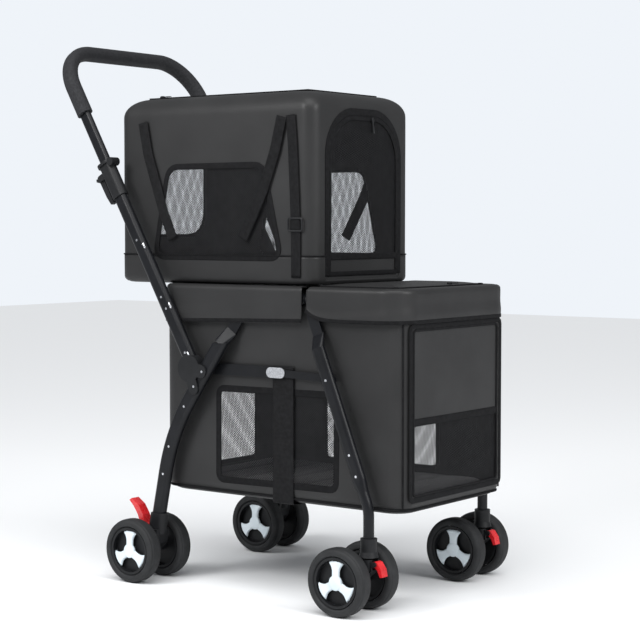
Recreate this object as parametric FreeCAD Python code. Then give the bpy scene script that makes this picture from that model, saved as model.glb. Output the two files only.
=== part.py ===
import FreeCAD, Part
import math
import os

V = FreeCAD.Vector

# Two-tier pet stroller. +X is forward, +Y is left, +Z is up, millimetres.
# The model is drawn from the rear axle line (x = 0, z = 0 at the ground) and moved at the end,
# so that the origin lies on the ground under the middle of the whole stroller.

# ---- overall layout ----
track_half = 197.5          # from the centreline to each side frame, and to each caster
wheelbase = 507.0           # rear axle to front axle
rim_height = 570.0          # middle of the basket's rim tube
basket_rear = 17.0          # outer face of the fabric at the back of the basket
basket_length = 590.0
basket_clearance = 182.0    # ground to the underside of the bag
cabin_rear = -107.0
cabin_length = 495.0
cabin_width = 326.0
cabin_height = 370.0
handle_lean = 30.0          # degrees from upright
handle_reach = 725.0        # foot of the post to the middle of the crossbar, along the post

# ---- wheels and casters ----
wheel_radius = 63.5
tyre_width = 33.0
twin_spacing = 89.0         # between the middles of the two wheels of one caster
rim_seat_radius = 47.0      # where the tyre sits on the hub
hub_width = 27.0
hub_boss_radius = 12.0
hub_web = 4.0
axle_radius = 4.0
running_fit = 0.05
caster_trail = 34.0         # front axle behind its swivel axis
fork_width = 36.0
fork_top = 104.0
stem_radius = 5.5
socket_radius = 15.5
socket_height = 34.0

# ---- side frame tubes ----
tube_wall = 1.5
rear_leg_wide = 31.0
front_leg_wide = 27.0
post_wide = 30.0
tube_thick = 17.0
stem_tube_radius = 10.0
tab_thick = 4.0
rear_leg_foot = (23.0, 100.0)
rear_leg_bend = (64.0, 299.0)
rear_leg_top_x = 238.0
rear_leg_bend_radius = 400.0
front_leg_top_x = 400.0
leg_drop = 22.0             # rim tube's middle down to the legs' pivots
front_stem_bend_height = 193.0
front_stem_bend_radius = 70.0
leg_flatten_low = 66.0      # below the top pivot: the tube starts to flatten into its tab
leg_flatten_high = 42.0     # below the top pivot: it is all tab
pivot_radius = 3.5
rivet_radius = 4.3
rivet_height = 2.4
post_foot_drop = 130.0      # rim tube's middle down to the foot of the post
post_behind_leg = 44.53
post_length = 446.0
handle_fit = 1.0            # how much smaller the handle tube is than the post's bore
handle_insert = 156.0       # handle tube inside the post
handle_corner = 90.0
grip_wide = 34.0
grip_thick = 28.0
grip_start = 572.0          # along the post
sleeve_length = 80.0
sleeve_wall = 3.0
slide_gap = 0.4

# ---- layers outside the bag, from the centreline outwards ----
bag_half = 176.0
strap_thick = 2.0
link_thick = 2.5
layer_gap = 0.3
cover_thick = 2.0
link_drop = 140.0           # rim tube's middle down to the side brace
link_hinge_x = 316.0
link_rear_wide = 22.0
link_front_wide = 14.0
strap_width = 50.0
keeper_length = 44.0
keeper_height = 20.0
keeper_thick = 1.8

# ---- basket ----
rim_tube_radius = 9.5
rim_corner = 42.0
bag_wall = 4.0
bag_corner = 36.0
bag_bottom_corner = 22.0
cover_drop = 46.0           # below the rim tube's middle
cover_rise = 23.0           # above it, to the top of the deck
split_x = 387.0
split_gap = 8.0
cover_flange = 36.0
cover_over_bag = 1.0        # gap between the covers' ends and the bag
panel_half = 150.0
panel_low = 30.0            # above the underside of the bag
panel_below_cover = 2.0
panel_gap = 1.0
board_thick = 5.0
soft_gap = 1.0
flap_length = 176.0
flap_corner = 14.0
board_inset = 16.0          # the board inside the bag's inner wall
board_lift = 4.0
board_corner = 24.0
hanger_thick = 3.0
hanger_half = 11.0
hanger_weld = 2.0           # how deep the hangers run into the rim tube
cross_tube_rear = 60.0      # ahead of the back of the basket
cross_tube_front = 22.0     # behind the split

# ---- cabin ----
cabin_wall = 8.0
cabin_corner = 28.0
cabin_top_corner = 42.0
cabin_lift_gap = 0.6
door_half = 116.0
door_low = 18.0
door_high = 328.0
door_arch = 84.0
lid_front = 345.0
lid_rear = -72.0
lid_half = 116.0
lid_thick = 6.0
lid_corner = 30.0
door_thick = 4.0
door_setback = 5.0          # inner face of the door behind the front of the cabin

# ---- places of small parts ----
front_brace_height = rim_height - 146.0
rear_leg_rivets = (216.0, 272.0, rim_height - 216.0)
knuckle_rivets = (rim_height - 145.0, rim_height - 175.0)
knuckle_cheek = 3.5
rivet_shank_radius = 2.4
cheek_shank = 1.0           # how deep a rivet sits in the knuckle's cheek
plug_reach = 20.0           # the front rim's plugs inside the rear rim
plug_root = 24.0            # and inside the front rim
post_rivets = (276.0, 147.0, 121.0, 23.0)
front_leg_rivet_heights = (424.0, 290.0, 252.0)
sleeve_cap = 10.0
lever_pivot = (432.0, -24.0)  # along and ahead of the post
lever_half = 5.2
lever_ear = 4.0
lever_pin_radius = 2.0
brake_pivot = (-4.0, 106.0)
lock_pivot = (560.0, 96.0)
brace_pin_radius = 3.0
strap_lead = 12.0           # the strap's middle ahead of the brace pin
strap_head = 12.0           # the strap above the brace pin
rivet_roundness = 1.15      # radius of a rivet's dome over the radius of its head
oval_end_rise = 52.0        # above the front stem's bend: the flat-oval tube ends
knee_rise = 30.0            # above the front stem's bend: the round stem starts
link_eye_play = 0.5         # the front brace's slack on its pivot

# ---- moulded parts ----
knuckle_dome = (2.0, -14.0, 27.0)   # ahead of and above a point on the post's foot, and its radius
knuckle_heel_wide = 24.0
knuckle_toe_wide = 26.0
flange_height = 6.0         # lip on top of the clamp sleeve
flange_extra_wide = 7.0
flange_extra_thick = 6.0
lug_radius = 8.5
ear_radius = 6.5
lever_play = 0.3
lever_nose_radius = 5.2
boss_radius = 18.0          # round the axles
foot_collar_height = 42.0
foot_collar_extra = 9.0
brake_ear_radius = 8.0
brake_ear_in = 11.0
brake_arm_wide = 14.0
brake_pin_radius = 2.5
pedal_half = 10.4
pedal_outline = ((5, 4), (-2, 24), (-14, 42), (-32, 54), (-38, 50), (-26, 38), (-15, 22), (-8, 0))
socket_lip = 3.0
socket_lip_height = 10.0
socket_lift = 3.0           # the socket above the top of the fork
stem_length = 46.0
crown_radius = 17.0
crown_height = 20.0
fork_web_half = 13.0
stem_collar_height = 2.6
lock_half = 9.0
lock_hub_radius = 5.0
lock_pin_radius = 2.0
lock_outline = ((-4, 4), (5, 4), (14, -8), (17, -22), (12, -23), (6, -10), (-2, -4))
hub_rim_wall = 5.0
spoke_reach = 36.0
spoke_wide = 14.0
spoke_recess = 3.0          # the spokes below the rim's outer face
tyre_shoulder = 9.0

# ---- worked out from the sizes above ----
lean = math.radians(handle_lean)
up_post = V(-math.sin(lean), 0, math.cos(lean))
ahead_of_post = V(math.cos(lean), 0, math.sin(lean))
handle_wide = post_wide - 2 * tube_wall - handle_fit
handle_thick = tube_thick - 2 * tube_wall - handle_fit
side_in = track_half - tube_thick / 2
side_out = track_half + tube_thick / 2
strap_in = bag_half + layer_gap
link_rear_in = strap_in + strap_thick + layer_gap
link_front_in = link_rear_in + link_thick + layer_gap
keeper_in = link_front_in + link_thick + layer_gap
cover_in = keeper_in + keeper_thick + 0.2
cover_out = cover_in + cover_thick
rim_y = cover_in - 2.2 - rim_tube_radius
tab_in = cover_in - 0.4 - tab_thick
hanger_in = tab_in - layer_gap - hanger_thick
basket_front = basket_rear + basket_length
bag_low = basket_clearance
panel_high = rim_height - cover_drop - panel_below_cover - bag_low   # above the underside of the bag
rear_leg_top = (rear_leg_top_x, rim_height - leg_drop)
front_leg_top = (front_leg_top_x, rim_height - leg_drop)
link_height = rim_height - link_drop
deck_top = rim_height + cover_rise
cabin_low = deck_top + cabin_lift_gap
cabin_front = cabin_rear + cabin_length
stem_x = wheelbase + caster_trail


def solid_of(shape):
    """The one solid in a shape, or the shape itself."""
    return shape.Solids[0] if len(shape.Solids) == 1 else shape


def rounded_path(points, radius):
    """Wire through points: straight runs joined by tangent arcs of one radius."""
    edges = []
    start = points[0]
    for before, corner, after in zip(points, points[1:], points[2:]):
        back = (before - corner).normalize()
        ahead = (after - corner).normalize()
        half = back.getAngle(ahead) / 2
        cut = radius / math.tan(half)
        middle = (back + ahead).normalize()
        arc_in = corner + back * cut
        arc_out = corner + ahead * cut
        arc_mid = corner + middle * (radius / math.sin(half) - radius)
        edges.append(Part.LineSegment(start, arc_in).toShape())
        edges.append(Part.Arc(arc_in, arc_mid, arc_out).toShape())
        start = arc_out
    edges.append(Part.LineSegment(start, points[-1]).toShape())
    return Part.Wire(edges)


def oval_wire(at, wide_dir, thick_dir, wide, thick):
    """Flat-sided oval section: two straight sides and two half circles."""
    half = (wide - thick) / 2
    r = thick / 2
    a = at + wide_dir * half + thick_dir * r
    b = at - wide_dir * half + thick_dir * r
    c = at - wide_dir * half - thick_dir * r
    d = at + wide_dir * half - thick_dir * r
    return Part.Wire([
        Part.LineSegment(a, b).toShape(),
        Part.Arc(b, at - wide_dir * (half + r), c).toShape(),
        Part.LineSegment(c, d).toShape(),
        Part.Arc(d, at + wide_dir * (half + r), a).toShape(),
    ])


def swept(path, section, side):
    """Solid of a section carried along a flat path, held square to the direction side."""
    maker = Part.BRepOffsetAPI.MakePipeShell(path)
    maker.setBiNormalMode(side)
    maker.add(section)
    maker.build()
    maker.makeSolid()
    return maker.shape()


def oval_tube(points, radius, side, wide, thick, wall):
    """Hollow flat-oval tube along points that lie in the plane square to side."""
    path = rounded_path(points, radius)
    ahead = (points[1] - points[0]).normalize()
    wide_dir = side.cross(ahead).normalize()
    outer = swept(path, oval_wire(points[0], wide_dir, side, wide, thick), side)
    inner = swept(path, oval_wire(points[0], wide_dir, side, wide - 2 * wall, thick - 2 * wall), side)
    return solid_of(outer.cut(inner))


def round_tube(path, start, ahead, radius, wall):
    """Hollow round tube along a path."""
    outer = path.makePipeShell([Part.Wire(Part.makeCircle(radius, start, ahead))], True, False)
    inner = path.makePipeShell([Part.Wire(Part.makeCircle(radius - wall, start, ahead))], True, False)
    return solid_of(outer.cut(inner))


def box(x0, x1, y0, y1, z0, z1):
    """Plain block between two corners."""
    return Part.makeBox(x1 - x0, y1 - y0, z1 - z0, V(x0, y0, z0))


def rounded_outline(x0, x1, half, z, corner):
    """Rounded rectangle in plan, symmetric about the centreline."""
    r = corner
    k = r * (1 - math.sqrt(0.5))
    return Part.Wire([
        Part.LineSegment(V(x0 + r, -half, z), V(x1 - r, -half, z)).toShape(),
        Part.Arc(V(x1 - r, -half, z), V(x1 - k, -half + k, z), V(x1, -half + r, z)).toShape(),
        Part.LineSegment(V(x1, -half + r, z), V(x1, half - r, z)).toShape(),
        Part.Arc(V(x1, half - r, z), V(x1 - k, half - k, z), V(x1 - r, half, z)).toShape(),
        Part.LineSegment(V(x1 - r, half, z), V(x0 + r, half, z)).toShape(),
        Part.Arc(V(x0 + r, half, z), V(x0 + k, half - k, z), V(x0, half - r, z)).toShape(),
        Part.LineSegment(V(x0, half - r, z), V(x0, -half + r, z)).toShape(),
        Part.Arc(V(x0, -half + r, z), V(x0 + k, -half + k, z), V(x0 + r, -half, z)).toShape(),
    ])


def rounded_block(x0, x1, half, z0, z1, corner):
    """Block with rounded upright edges, symmetric about the centreline."""
    return Part.Face(rounded_outline(x0, x1, half, z0, corner)).extrude(V(0, 0, z1 - z0))


def edges_at_height(shape, z):
    """Edges that lie wholly at one height."""
    return [e for e in shape.Edges if abs(e.BoundBox.ZMin - z) < 0.01 and abs(e.BoundBox.ZMax - z) < 0.01]


def disc_y(x, z, y0, y1, radius):
    """Cylinder along Y between two sideways positions."""
    return Part.makeCylinder(radius, y1 - y0, V(x, y0, z), V(0, 1, 0))


def ring_y(x, z, y0, y1, outer, inner):
    """Ring along Y."""
    return disc_y(x, z, y0, y1, outer).cut(disc_y(x, z, y0, y1, inner))


def plate(points, y0, y1):
    """Flat plate: an outline of (x, z) points between two sideways positions."""
    corners = [V(x, y0, z) for x, z in points]
    return Part.Face(Part.makePolygon(corners + corners[:1])).extrude(V(0, y1 - y0, 0))


def bar(x0, z0, x1, z1, y0, y1, wide):
    """Flat bar with round ends between two points of the side view."""
    length = math.hypot(x1 - x0, z1 - z0)
    nx = -(z1 - z0) / length * wide / 2
    nz = (x1 - x0) / length * wide / 2
    middle = plate([(x0 + nx, z0 + nz), (x1 + nx, z1 + nz), (x1 - nx, z1 - nz), (x0 - nx, z0 - nz)], y0, y1)
    ends = [disc_y(x0, z0, y0, y1, wide / 2), disc_y(x1, z1, y0, y1, wide / 2)]
    return middle.multiFuse(ends).removeSplitter()


def mirrored(shape):
    """The same piece on the other side of the centreline."""
    return shape.mirror(V(0, 0, 0), V(0, 1, 0))


def both(shape):
    """Left and right piece together, as separate solids."""
    return Part.makeCompound([shape, mirrored(shape)])


def on_post(s, n=0.0, y=0.0):
    """Point on the post's line: s up from its foot, n ahead of its middle, y to the left."""
    return V(post_foot[0], y, post_foot[1]) + up_post * s + ahead_of_post * n


def post_block(s0, s1, wide, thick):
    """Flat-oval length of the left post's line, from s0 to s1."""
    section = Part.Face(oval_wire(on_post(s0, 0, track_half), ahead_of_post, V(0, 1, 0), wide, thick))
    return section.extrude(up_post * (s1 - s0))


def post_plate(points, y0, y1):
    """Plate whose outline is given along and ahead of the post."""
    at = [on_post(s, n) for s, n in points]
    return plate([(p.x, p.z) for p in at], y0, y1)


def height_on(path, z):
    """The x of a path at one height."""
    level = Part.makePlane(4000, 4000, V(-2000, -2000, z))
    return path.distToShape(level)[1][0][0].x


def rivet_hole(x, z, y, depth):
    """Room for one rivet's shank in an outer wall at y."""
    return disc_y(x, z, y - depth, y, rivet_shank_radius)


def rivet(x, z, y, depth):
    """Domed rivet head on an outer face at y, with a shank that reaches depth inwards."""
    dome = rivet_radius * rivet_roundness
    ball = Part.makeSphere(dome, V(x, y + rivet_height - dome, z))
    head = ball.common(disc_y(x, z, y, y + rivet_height, rivet_radius))
    return head.fuse(rivet_hole(x, z, y, depth))


# ---- side frame paths, left side ----
def side_point(x, z):
    return V(x, track_half, z)


rear_leg_points = [side_point(*rear_leg_foot), side_point(*rear_leg_bend), side_point(*rear_leg_top)]
rear_leg_path = rounded_path(rear_leg_points, rear_leg_bend_radius)
post_foot_height = rim_height - post_foot_drop
post_foot = (height_on(rear_leg_path, post_foot_height) - post_behind_leg, post_foot_height)
front_leg_slope = (stem_x - front_leg_top[0]) / (front_leg_top[1] - front_stem_bend_height)


def front_leg_x(z):
    """Middle of the front leg above its bend."""
    return front_leg_top[0] + (front_leg_top[1] - z) * front_leg_slope


def leg_tab(top, low_x, high_x):
    """Flattened upper end of a leg: a loft from the tube to a flat tab with a round end and pivot hole."""
    low_z = top[1] - leg_flatten_low
    high_z = top[1] - leg_flatten_high
    wide = front_leg_wide
    tab_mid = tab_in + tab_thick / 2
    ahead = V(high_x - low_x, 0, high_z - low_z).normalize()
    wide_dir = V(0, 1, 0).cross(ahead)
    low = oval_wire(V(low_x, track_half, low_z), wide_dir, V(0, 1, 0), wide, tube_thick)
    high = oval_wire(V(high_x, tab_mid, high_z), wide_dir, V(0, 1, 0), wide, tab_thick)
    neck = Part.makeLoft([low, high], True, True)
    tab = bar(high_x, high_z, top[0], top[1], tab_in, tab_in + tab_thick, wide - tab_thick)
    hole = disc_y(top[0], top[1], tab_in - 1, tab_in + tab_thick + 1, pivot_radius + running_fit)
    return neck.fuse(tab).cut(hole)


def rear_leg():
    """Bent flat-oval rear leg; its upper end is flattened and bolted to the rim's hanger."""
    tube = oval_tube(rear_leg_points, rear_leg_bend_radius, V(0, 1, 0), rear_leg_wide, tube_thick, tube_wall)
    cut_z = rear_leg_top[1] - leg_flatten_low
    tube = tube.common(box(-500, 900, 0, 400, 0, cut_z))
    low_x = height_on(rear_leg_path, cut_z)
    high_x = height_on(rear_leg_path, rear_leg_top[1] - leg_flatten_high)
    holes = [rivet_hole(height_on(rear_leg_path, z), z, side_out, tube_wall + 1) for z in rear_leg_rivets]
    return solid_of(tube.fuse(leg_tab(rear_leg_top, low_x, high_x)).cut([link_foot_hole()] + holes))


def link_foot_hole():
    """Pin hole in the rear leg's inner wall for the side brace."""
    x = height_on(rear_leg_path, link_height)
    return disc_y(x, link_height, side_in - 1, side_in + tube_wall + 1, pivot_radius)


def front_leg():
    """Front leg: flat-oval above, drawn down to a round stem that turns upright into its caster socket."""
    side = V(0, 1, 0)
    cut_z = front_leg_top[1] - leg_flatten_low
    oval_end = front_stem_bend_height + oval_end_rise
    knee_z = front_stem_bend_height + knee_rise
    top = side_point(front_leg_x(cut_z), cut_z)
    foot = side_point(front_leg_x(oval_end), oval_end)
    knee = side_point(front_leg_x(knee_z), knee_z)
    ahead = (foot - top).normalize()
    wide_dir = side.cross(ahead)
    outer = Part.Face(oval_wire(top, wide_dir, side, front_leg_wide, tube_thick))
    inner = Part.Face(oval_wire(top, wide_dir, side, front_leg_wide - 2 * tube_wall, tube_thick - 2 * tube_wall))
    tube = outer.extrude(foot - top).cut(inner.extrude(foot - top))
    nearly_round = oval_wire(knee, wide_dir, side, 2 * stem_tube_radius + 0.2, 2 * stem_tube_radius)
    neck = Part.makeLoft([oval_wire(foot, wide_dir, side, front_leg_wide, tube_thick), nearly_round], True, True)
    stem_points = [knee, side_point(stem_x, front_stem_bend_height), side_point(stem_x, fork_top + 12)]
    stem_path = rounded_path(stem_points, front_stem_bend_radius)
    stem = round_tube(stem_path, knee, ahead, stem_tube_radius, tube_wall)
    high_x = front_leg_x(front_leg_top[1] - leg_flatten_high)
    holes = [rivet_hole(front_leg_x(z), z, side_out, tube_wall + 1) for z in front_leg_rivet_heights]
    return solid_of(tube.multiFuse([stem, neck, leg_tab(front_leg_top, top.x, high_x)]).cut(holes))


def handle_post():
    """Flat-oval post: it holds the telescoping handle and stands on the rear leg."""
    outer = post_block(0, post_length, post_wide, tube_thick)
    inner = post_block(-1, post_length + 1, post_wide - 2 * tube_wall, tube_thick - 2 * tube_wall)
    holes = [rivet_hole(on_post(s).x, on_post(s).z, side_out, tube_wall + 1) for s in post_rivets]
    return outer.cut([inner] + holes)


def rear_leg_filled():
    """The rear leg's outer form without its bore, to cut room for it."""
    side = V(0, 1, 0)
    wide_dir = side.cross((rear_leg_points[1] - rear_leg_points[0]).normalize())
    return swept(rear_leg_path, oval_wire(rear_leg_points[0], wide_dir, side, rear_leg_wide, tube_thick), side)


def knuckle():
    """Moulded saddle that joins the post's foot to the rear leg."""
    leg_x = height_on(rear_leg_path, knuckle_rivets[0])
    low_x = height_on(rear_leg_path, knuckle_rivets[1])
    foot = on_post(4)
    y0, y1 = side_in, side_out + knuckle_cheek
    ahead, above, radius = knuckle_dome
    dome = disc_y(foot.x + ahead, foot.z + above, y0, y1, radius)
    heel = bar(foot.x + 4, foot.z - 22, low_x - 1, knuckle_rivets[1] - 4, y0, y1, knuckle_heel_wide)
    toe = bar(foot.x + 6, foot.z - 12, leg_x - 3, knuckle_rivets[0], y0, y1, knuckle_toe_wide)
    body = dome.multiFuse([heel, toe]).removeSplitter()
    holes = [rivet_hole(height_on(rear_leg_path, z), z, y1, cheek_shank) for z in knuckle_rivets]
    body = body.cut([rear_leg_filled(), post_block(0, 80, post_wide, tube_thick)] + holes)
    return max(body.Solids, key=lambda s: s.Volume)


def clamp_sleeve():
    """Plastic collar on top of the post, split for the quick-release lever that grips the handle tube."""
    top = post_length + sleeve_cap
    low = top - sleeve_length
    body = post_block(low, top, post_wide + 2 * sleeve_wall, tube_thick + 2 * sleeve_wall)
    flange = post_block(top - flange_height, top, post_wide + 2 * sleeve_wall + flange_extra_wide,
                        tube_thick + 2 * sleeve_wall + flange_extra_thick)
    lug_at = on_post(top - 9, post_wide / 2 + sleeve_wall + 2)
    lug = disc_y(lug_at.x, lug_at.z, track_half - 8, side_out + sleeve_wall + 2, lug_radius)
    ear_at = on_post(*lever_pivot)
    ears = []
    low_s, high_s = lever_pivot[0] - ear_radius, lever_pivot[0] + ear_radius
    root = -post_wide / 3
    for y in (track_half - lever_half - lever_play - lever_ear, track_half + lever_half + lever_play):
        ears.append(post_plate([(low_s, root), (high_s, root), (high_s, lever_pivot[1]), (low_s, lever_pivot[1])],
                               y, y + lever_ear))
        ears.append(disc_y(ear_at.x, ear_at.z, y, y + lever_ear, ear_radius))
    body = body.multiFuse([flange, lug] + ears)
    body = body.cut(post_block(low - 1, post_length, post_wide, tube_thick))
    body = body.cut(post_block(0, top + 1, handle_wide + 2 * slide_gap, handle_thick + 2 * slide_gap))
    reach = lever_half + lever_play + lever_ear
    pin = disc_y(ear_at.x, ear_at.z, track_half - reach, track_half + reach, lever_pin_radius)
    return solid_of(body.fuse(pin))


def clamp_lever():
    """Quick-release lever that lies along the back of its collar, with a nose at its pivot."""
    s, n = lever_pivot
    back = -post_wide / 2 - sleeve_wall - 0.6
    y0, y1 = track_half - lever_half, track_half + lever_half
    arm = post_plate([(s + 3, n), (s + 6, n - 13), (s + 1, n - 15), (s - 6, n - 7), (s - 40, n - 6),
                      (s - 58, n - 3), (s - 58, back), (s - 4, back)], y0, y1)
    at = on_post(s, n)
    body = arm.fuse(disc_y(at.x, at.z, y0, y1, lever_nose_radius))
    return solid_of(body.cut(disc_y(at.x, at.z, y0, y1, lever_pin_radius + running_fit)))


def handle_path():
    """Middle line of the inverted-U handle, from the right foot round to the left foot."""
    low = post_length - handle_insert
    return [on_post(low, 0, -track_half), on_post(handle_reach, 0, -track_half),
            on_post(handle_reach, 0, track_half), on_post(low, 0, track_half)]


def handle_form(start, wide, thick):
    """Flat-oval bar bent along the handle, with its feet at start along the post."""
    points = handle_path()
    points[0] = on_post(start, 0, -track_half)
    points[3] = on_post(start, 0, track_half)
    section = oval_wire(points[0], ahead_of_post, V(0, 1, 0), wide, thick)
    return swept(rounded_path(points, handle_corner), section, ahead_of_post)


def handle_tube():
    """Telescoping inverted-U handle tube."""
    foot = post_length - handle_insert
    inner = handle_form(foot, handle_wide - 2 * tube_wall, handle_thick - 2 * tube_wall)
    return solid_of(handle_form(foot, handle_wide, handle_thick).cut(inner))


def handle_grip():
    """Foam grip pushed over the whole upper U of the handle."""
    outer = handle_form(grip_start, grip_wide, grip_thick)
    return solid_of(outer.cut(handle_form(grip_start, handle_wide, handle_thick)))


def rim_tube(x_end, x_far):
    """U-shaped rim tube, open at x_end and turning across at x_far."""
    points = [V(x_end, -rim_y, rim_height), V(x_far, -rim_y, rim_height),
              V(x_far, rim_y, rim_height), V(x_end, rim_y, rim_height)]
    path = rounded_path(points, rim_corner)
    ahead = (points[1] - points[0]).normalize()
    return path, points[0], ahead


def hanger(x, z):
    """Welded plate under the rim that carries a leg's pivot."""
    top = rim_height - rim_tube_radius + hanger_weld
    foot = disc_y(x, z, hanger_in, hanger_in + hanger_thick, hanger_half)
    stem = box(x - hanger_half, x + hanger_half, hanger_in, hanger_in + hanger_thick, z, top)
    return foot.fuse(stem).cut(disc_y(x, z, 0, 300, pivot_radius))


def cross_tube(x):
    """Tube welded across between the rim's sides; the cabin rests on these."""
    return Part.makeCylinder(rim_tube_radius - 1, 2 * rim_y, V(x, -rim_y, rim_height), V(0, 1, 0))


def rear_rim():
    """Rear half of the basket rim: bent tube, two cross tubes and the rear legs' hangers, welded."""
    path, start, ahead = rim_tube(split_x - split_gap / 2, basket_rear + cover_thick + 1 + rim_tube_radius)
    bars = [cross_tube(basket_rear + cross_tube_rear), cross_tube(split_x - cross_tube_front)]
    plates = [hanger(*rear_leg_top), mirrored(hanger(*rear_leg_top))]
    outer = path.makePipeShell([Part.Wire(Part.makeCircle(rim_tube_radius, start, ahead))], True, False)
    inner = path.makePipeShell([Part.Wire(Part.makeCircle(rim_tube_radius - tube_wall, start, ahead))], True, False)
    return solid_of(outer.multiFuse(bars + plates).cut(inner))


def front_rim():
    """Front half of the rim: bent tube with plugs into the rear half and the front legs' hangers."""
    x_end = split_x + split_gap / 2
    path, start, ahead = rim_tube(x_end, basket_front - cover_thick - 1 - rim_tube_radius)
    tube = round_tube(path, start, ahead, rim_tube_radius, tube_wall)
    extras = []
    for side in (-1, 1):
        bore = rim_tube_radius - tube_wall
        at = V(x_end - split_gap - plug_reach, side * rim_y, rim_height)
        extras.append(Part.makeCylinder(bore - running_fit, plug_reach + split_gap, at, V(1, 0, 0)))
        root = V(x_end, side * rim_y, rim_height)
        extras.append(Part.makeCylinder(bore, plug_root, root, V(1, 0, 0)))
    reach = box(x_end, front_leg_top[0] + hanger_half, hanger_in, hanger_in + hanger_thick,
                front_leg_top[1], rim_height - rim_tube_radius + hanger_weld)
    extras += [hanger(*front_leg_top), mirrored(hanger(*front_leg_top)), reach.cut(disc_y(
        front_leg_top[0], front_leg_top[1], 0, 300, pivot_radius))]
    return solid_of(tube.multiFuse(extras))


def cover_band(half, x0, x1, z0, z1, thick):
    """Upright band that follows the rim's outline."""
    outer = rounded_block(x0, x1, half, z0, z1, rim_corner + rim_tube_radius)
    inner = rounded_block(x0 + thick, x1 - thick, half - thick, z0 - 1, z1 + 1, rim_corner + rim_tube_radius - thick)
    return outer.cut(inner)


def rim_covers():
    """Rear and front fabric covers that drape over the rim tubes, parted at the front legs."""
    low, high = rim_height - cover_drop, deck_top
    band = cover_band(cover_out, basket_rear, basket_front, low, high, cover_thick)
    flange = cover_band(cover_out, basket_rear, basket_front, high - cover_thick, high, cover_flange)
    whole = band.fuse(flange)
    rear = whole.common(box(-500, split_x - split_gap / 2, -400, 400, 0, 900))
    front = whole.common(box(split_x + split_gap / 2, 2000, -400, 400, 0, 900))
    return Part.makeCompound([solid_of(rear), solid_of(front)])


def bag_ends():
    """Outer faces of the bag at the back and at the front."""
    inset = cover_thick + cover_over_bag
    return basket_rear + inset, basket_front - inset


def basket_bag():
    """Hanging fabric basket, open at the top and at its front doorway."""
    x0, x1 = bag_ends()
    top = rim_height - rim_tube_radius - 0.5
    outer = rounded_block(x0, x1, bag_half, bag_low, top, bag_corner)
    outer = outer.makeFillet(bag_bottom_corner, edges_at_height(outer, bag_low))
    low = bag_low + bag_wall
    inner = rounded_block(x0 + bag_wall, x1 - bag_wall, bag_half - bag_wall, low, top + 50, bag_corner - bag_wall)
    inner = inner.makeFillet(bag_bottom_corner - bag_wall, edges_at_height(inner, low))
    doorway = box(x1 - 30, x1 + 30, -panel_half, panel_half, bag_low + panel_low, bag_low + panel_high)
    return solid_of(outer.cut(inner).cut(doorway))


def basket_front_panel():
    """Zipped front panel of the basket, sewn along its lower edge."""
    x1 = bag_ends()[1]
    g = panel_gap
    return box(x1 - bag_wall, x1, -panel_half + g, panel_half - g, bag_low + panel_low + g, bag_low + panel_high - g)


def basket_floor_board():
    """Stiff board that lies in the bottom of the basket."""
    inset = bag_wall + board_inset
    x0, x1 = basket_rear + inset, basket_front - inset
    low = bag_low + bag_wall + soft_gap + board_lift
    return rounded_block(x0, x1, bag_half - inset, low, low + board_thick, board_corner)


def basket_top_flap():
    """Zipped flap over the front of the basket."""
    x0 = split_x + split_gap / 2 + 1
    half = cover_out - cover_flange - 2
    return rounded_block(x0, x0 + flap_length, half, deck_top - 4, deck_top + 1, flap_corner)


def support_strap():
    """Lift strap: webbing that hangs from the two brace pins and passes under the basket."""
    x0 = link_hinge_x - strap_width / 2 + strap_lead
    x1 = x0 + strap_width
    top = link_height + strap_head
    low = bag_low - soft_gap - strap_thick
    outer = box(x0, x1, -strap_in - strap_thick, strap_in + strap_thick, low, top)
    inner = box(x0 - 1, x1 + 1, -strap_in, strap_in, low + strap_thick, top + 1)
    strap = outer.cut(inner)
    return strap.cut(disc_y(link_hinge_x, link_height, -400, 400, brace_pin_radius))


def link_pin():
    """Brace pin with its bright keeper plate, which the lift strap hangs from."""
    y1 = keeper_in + keeper_thick
    half = (keeper_length - keeper_height) / 2
    head = bar(link_hinge_x - half, link_height, link_hinge_x + half, link_height, keeper_in, y1, keeper_height)
    return head.fuse(disc_y(link_hinge_x, link_height, strap_in, y1, brace_pin_radius))


def link_rear():
    """Rear half of the side brace, from the rear leg to the brace pin."""
    x = height_on(rear_leg_path, link_height)
    y1 = link_rear_in + link_thick
    body = bar(x, link_height, link_hinge_x, link_height, link_rear_in, y1, link_rear_wide)
    for at, radius in ((x, pivot_radius), (link_hinge_x, brace_pin_radius)):
        body = body.cut(disc_y(at, link_height, 0, 300, radius + running_fit))
    return body


def link_front():
    """Front half of the side brace, from the brace pin to the front leg."""
    y1 = link_front_in + link_thick
    end_x = front_leg_x(front_brace_height)
    body = bar(link_hinge_x, link_height, end_x, front_brace_height, link_front_in, y1, link_front_wide)
    body = body.cut(disc_y(link_hinge_x, link_height, 0, 300, brace_pin_radius + running_fit))
    return body.cut(disc_y(end_x, front_brace_height, 0, 300, pivot_radius + link_eye_play))


def frame_rivets():
    """Bright rivets of the rear frame, and the pins that the legs and braces turn on."""
    shapes = []
    for z in rear_leg_rivets:
        shapes.append(rivet(height_on(rear_leg_path, z), z, side_out, tube_wall))
    for z in knuckle_rivets:
        shapes.append(rivet(height_on(rear_leg_path, z), z, side_out + knuckle_cheek, cheek_shank))
    for s in post_rivets:
        at = on_post(s)
        shapes.append(rivet(at.x, at.z, side_out, tube_wall))
    for top in (rear_leg_top, front_leg_top):
        pin = disc_y(top[0], top[1], hanger_in, tab_in + tab_thick, pivot_radius)
        shapes.append(pin)
    brace_x = height_on(rear_leg_path, link_height)
    shapes.append(disc_y(brace_x, link_height, link_rear_in - 0.1, side_in + tube_wall, pivot_radius))
    return Part.makeCompound(shapes + [mirrored(s) for s in shapes])


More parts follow.
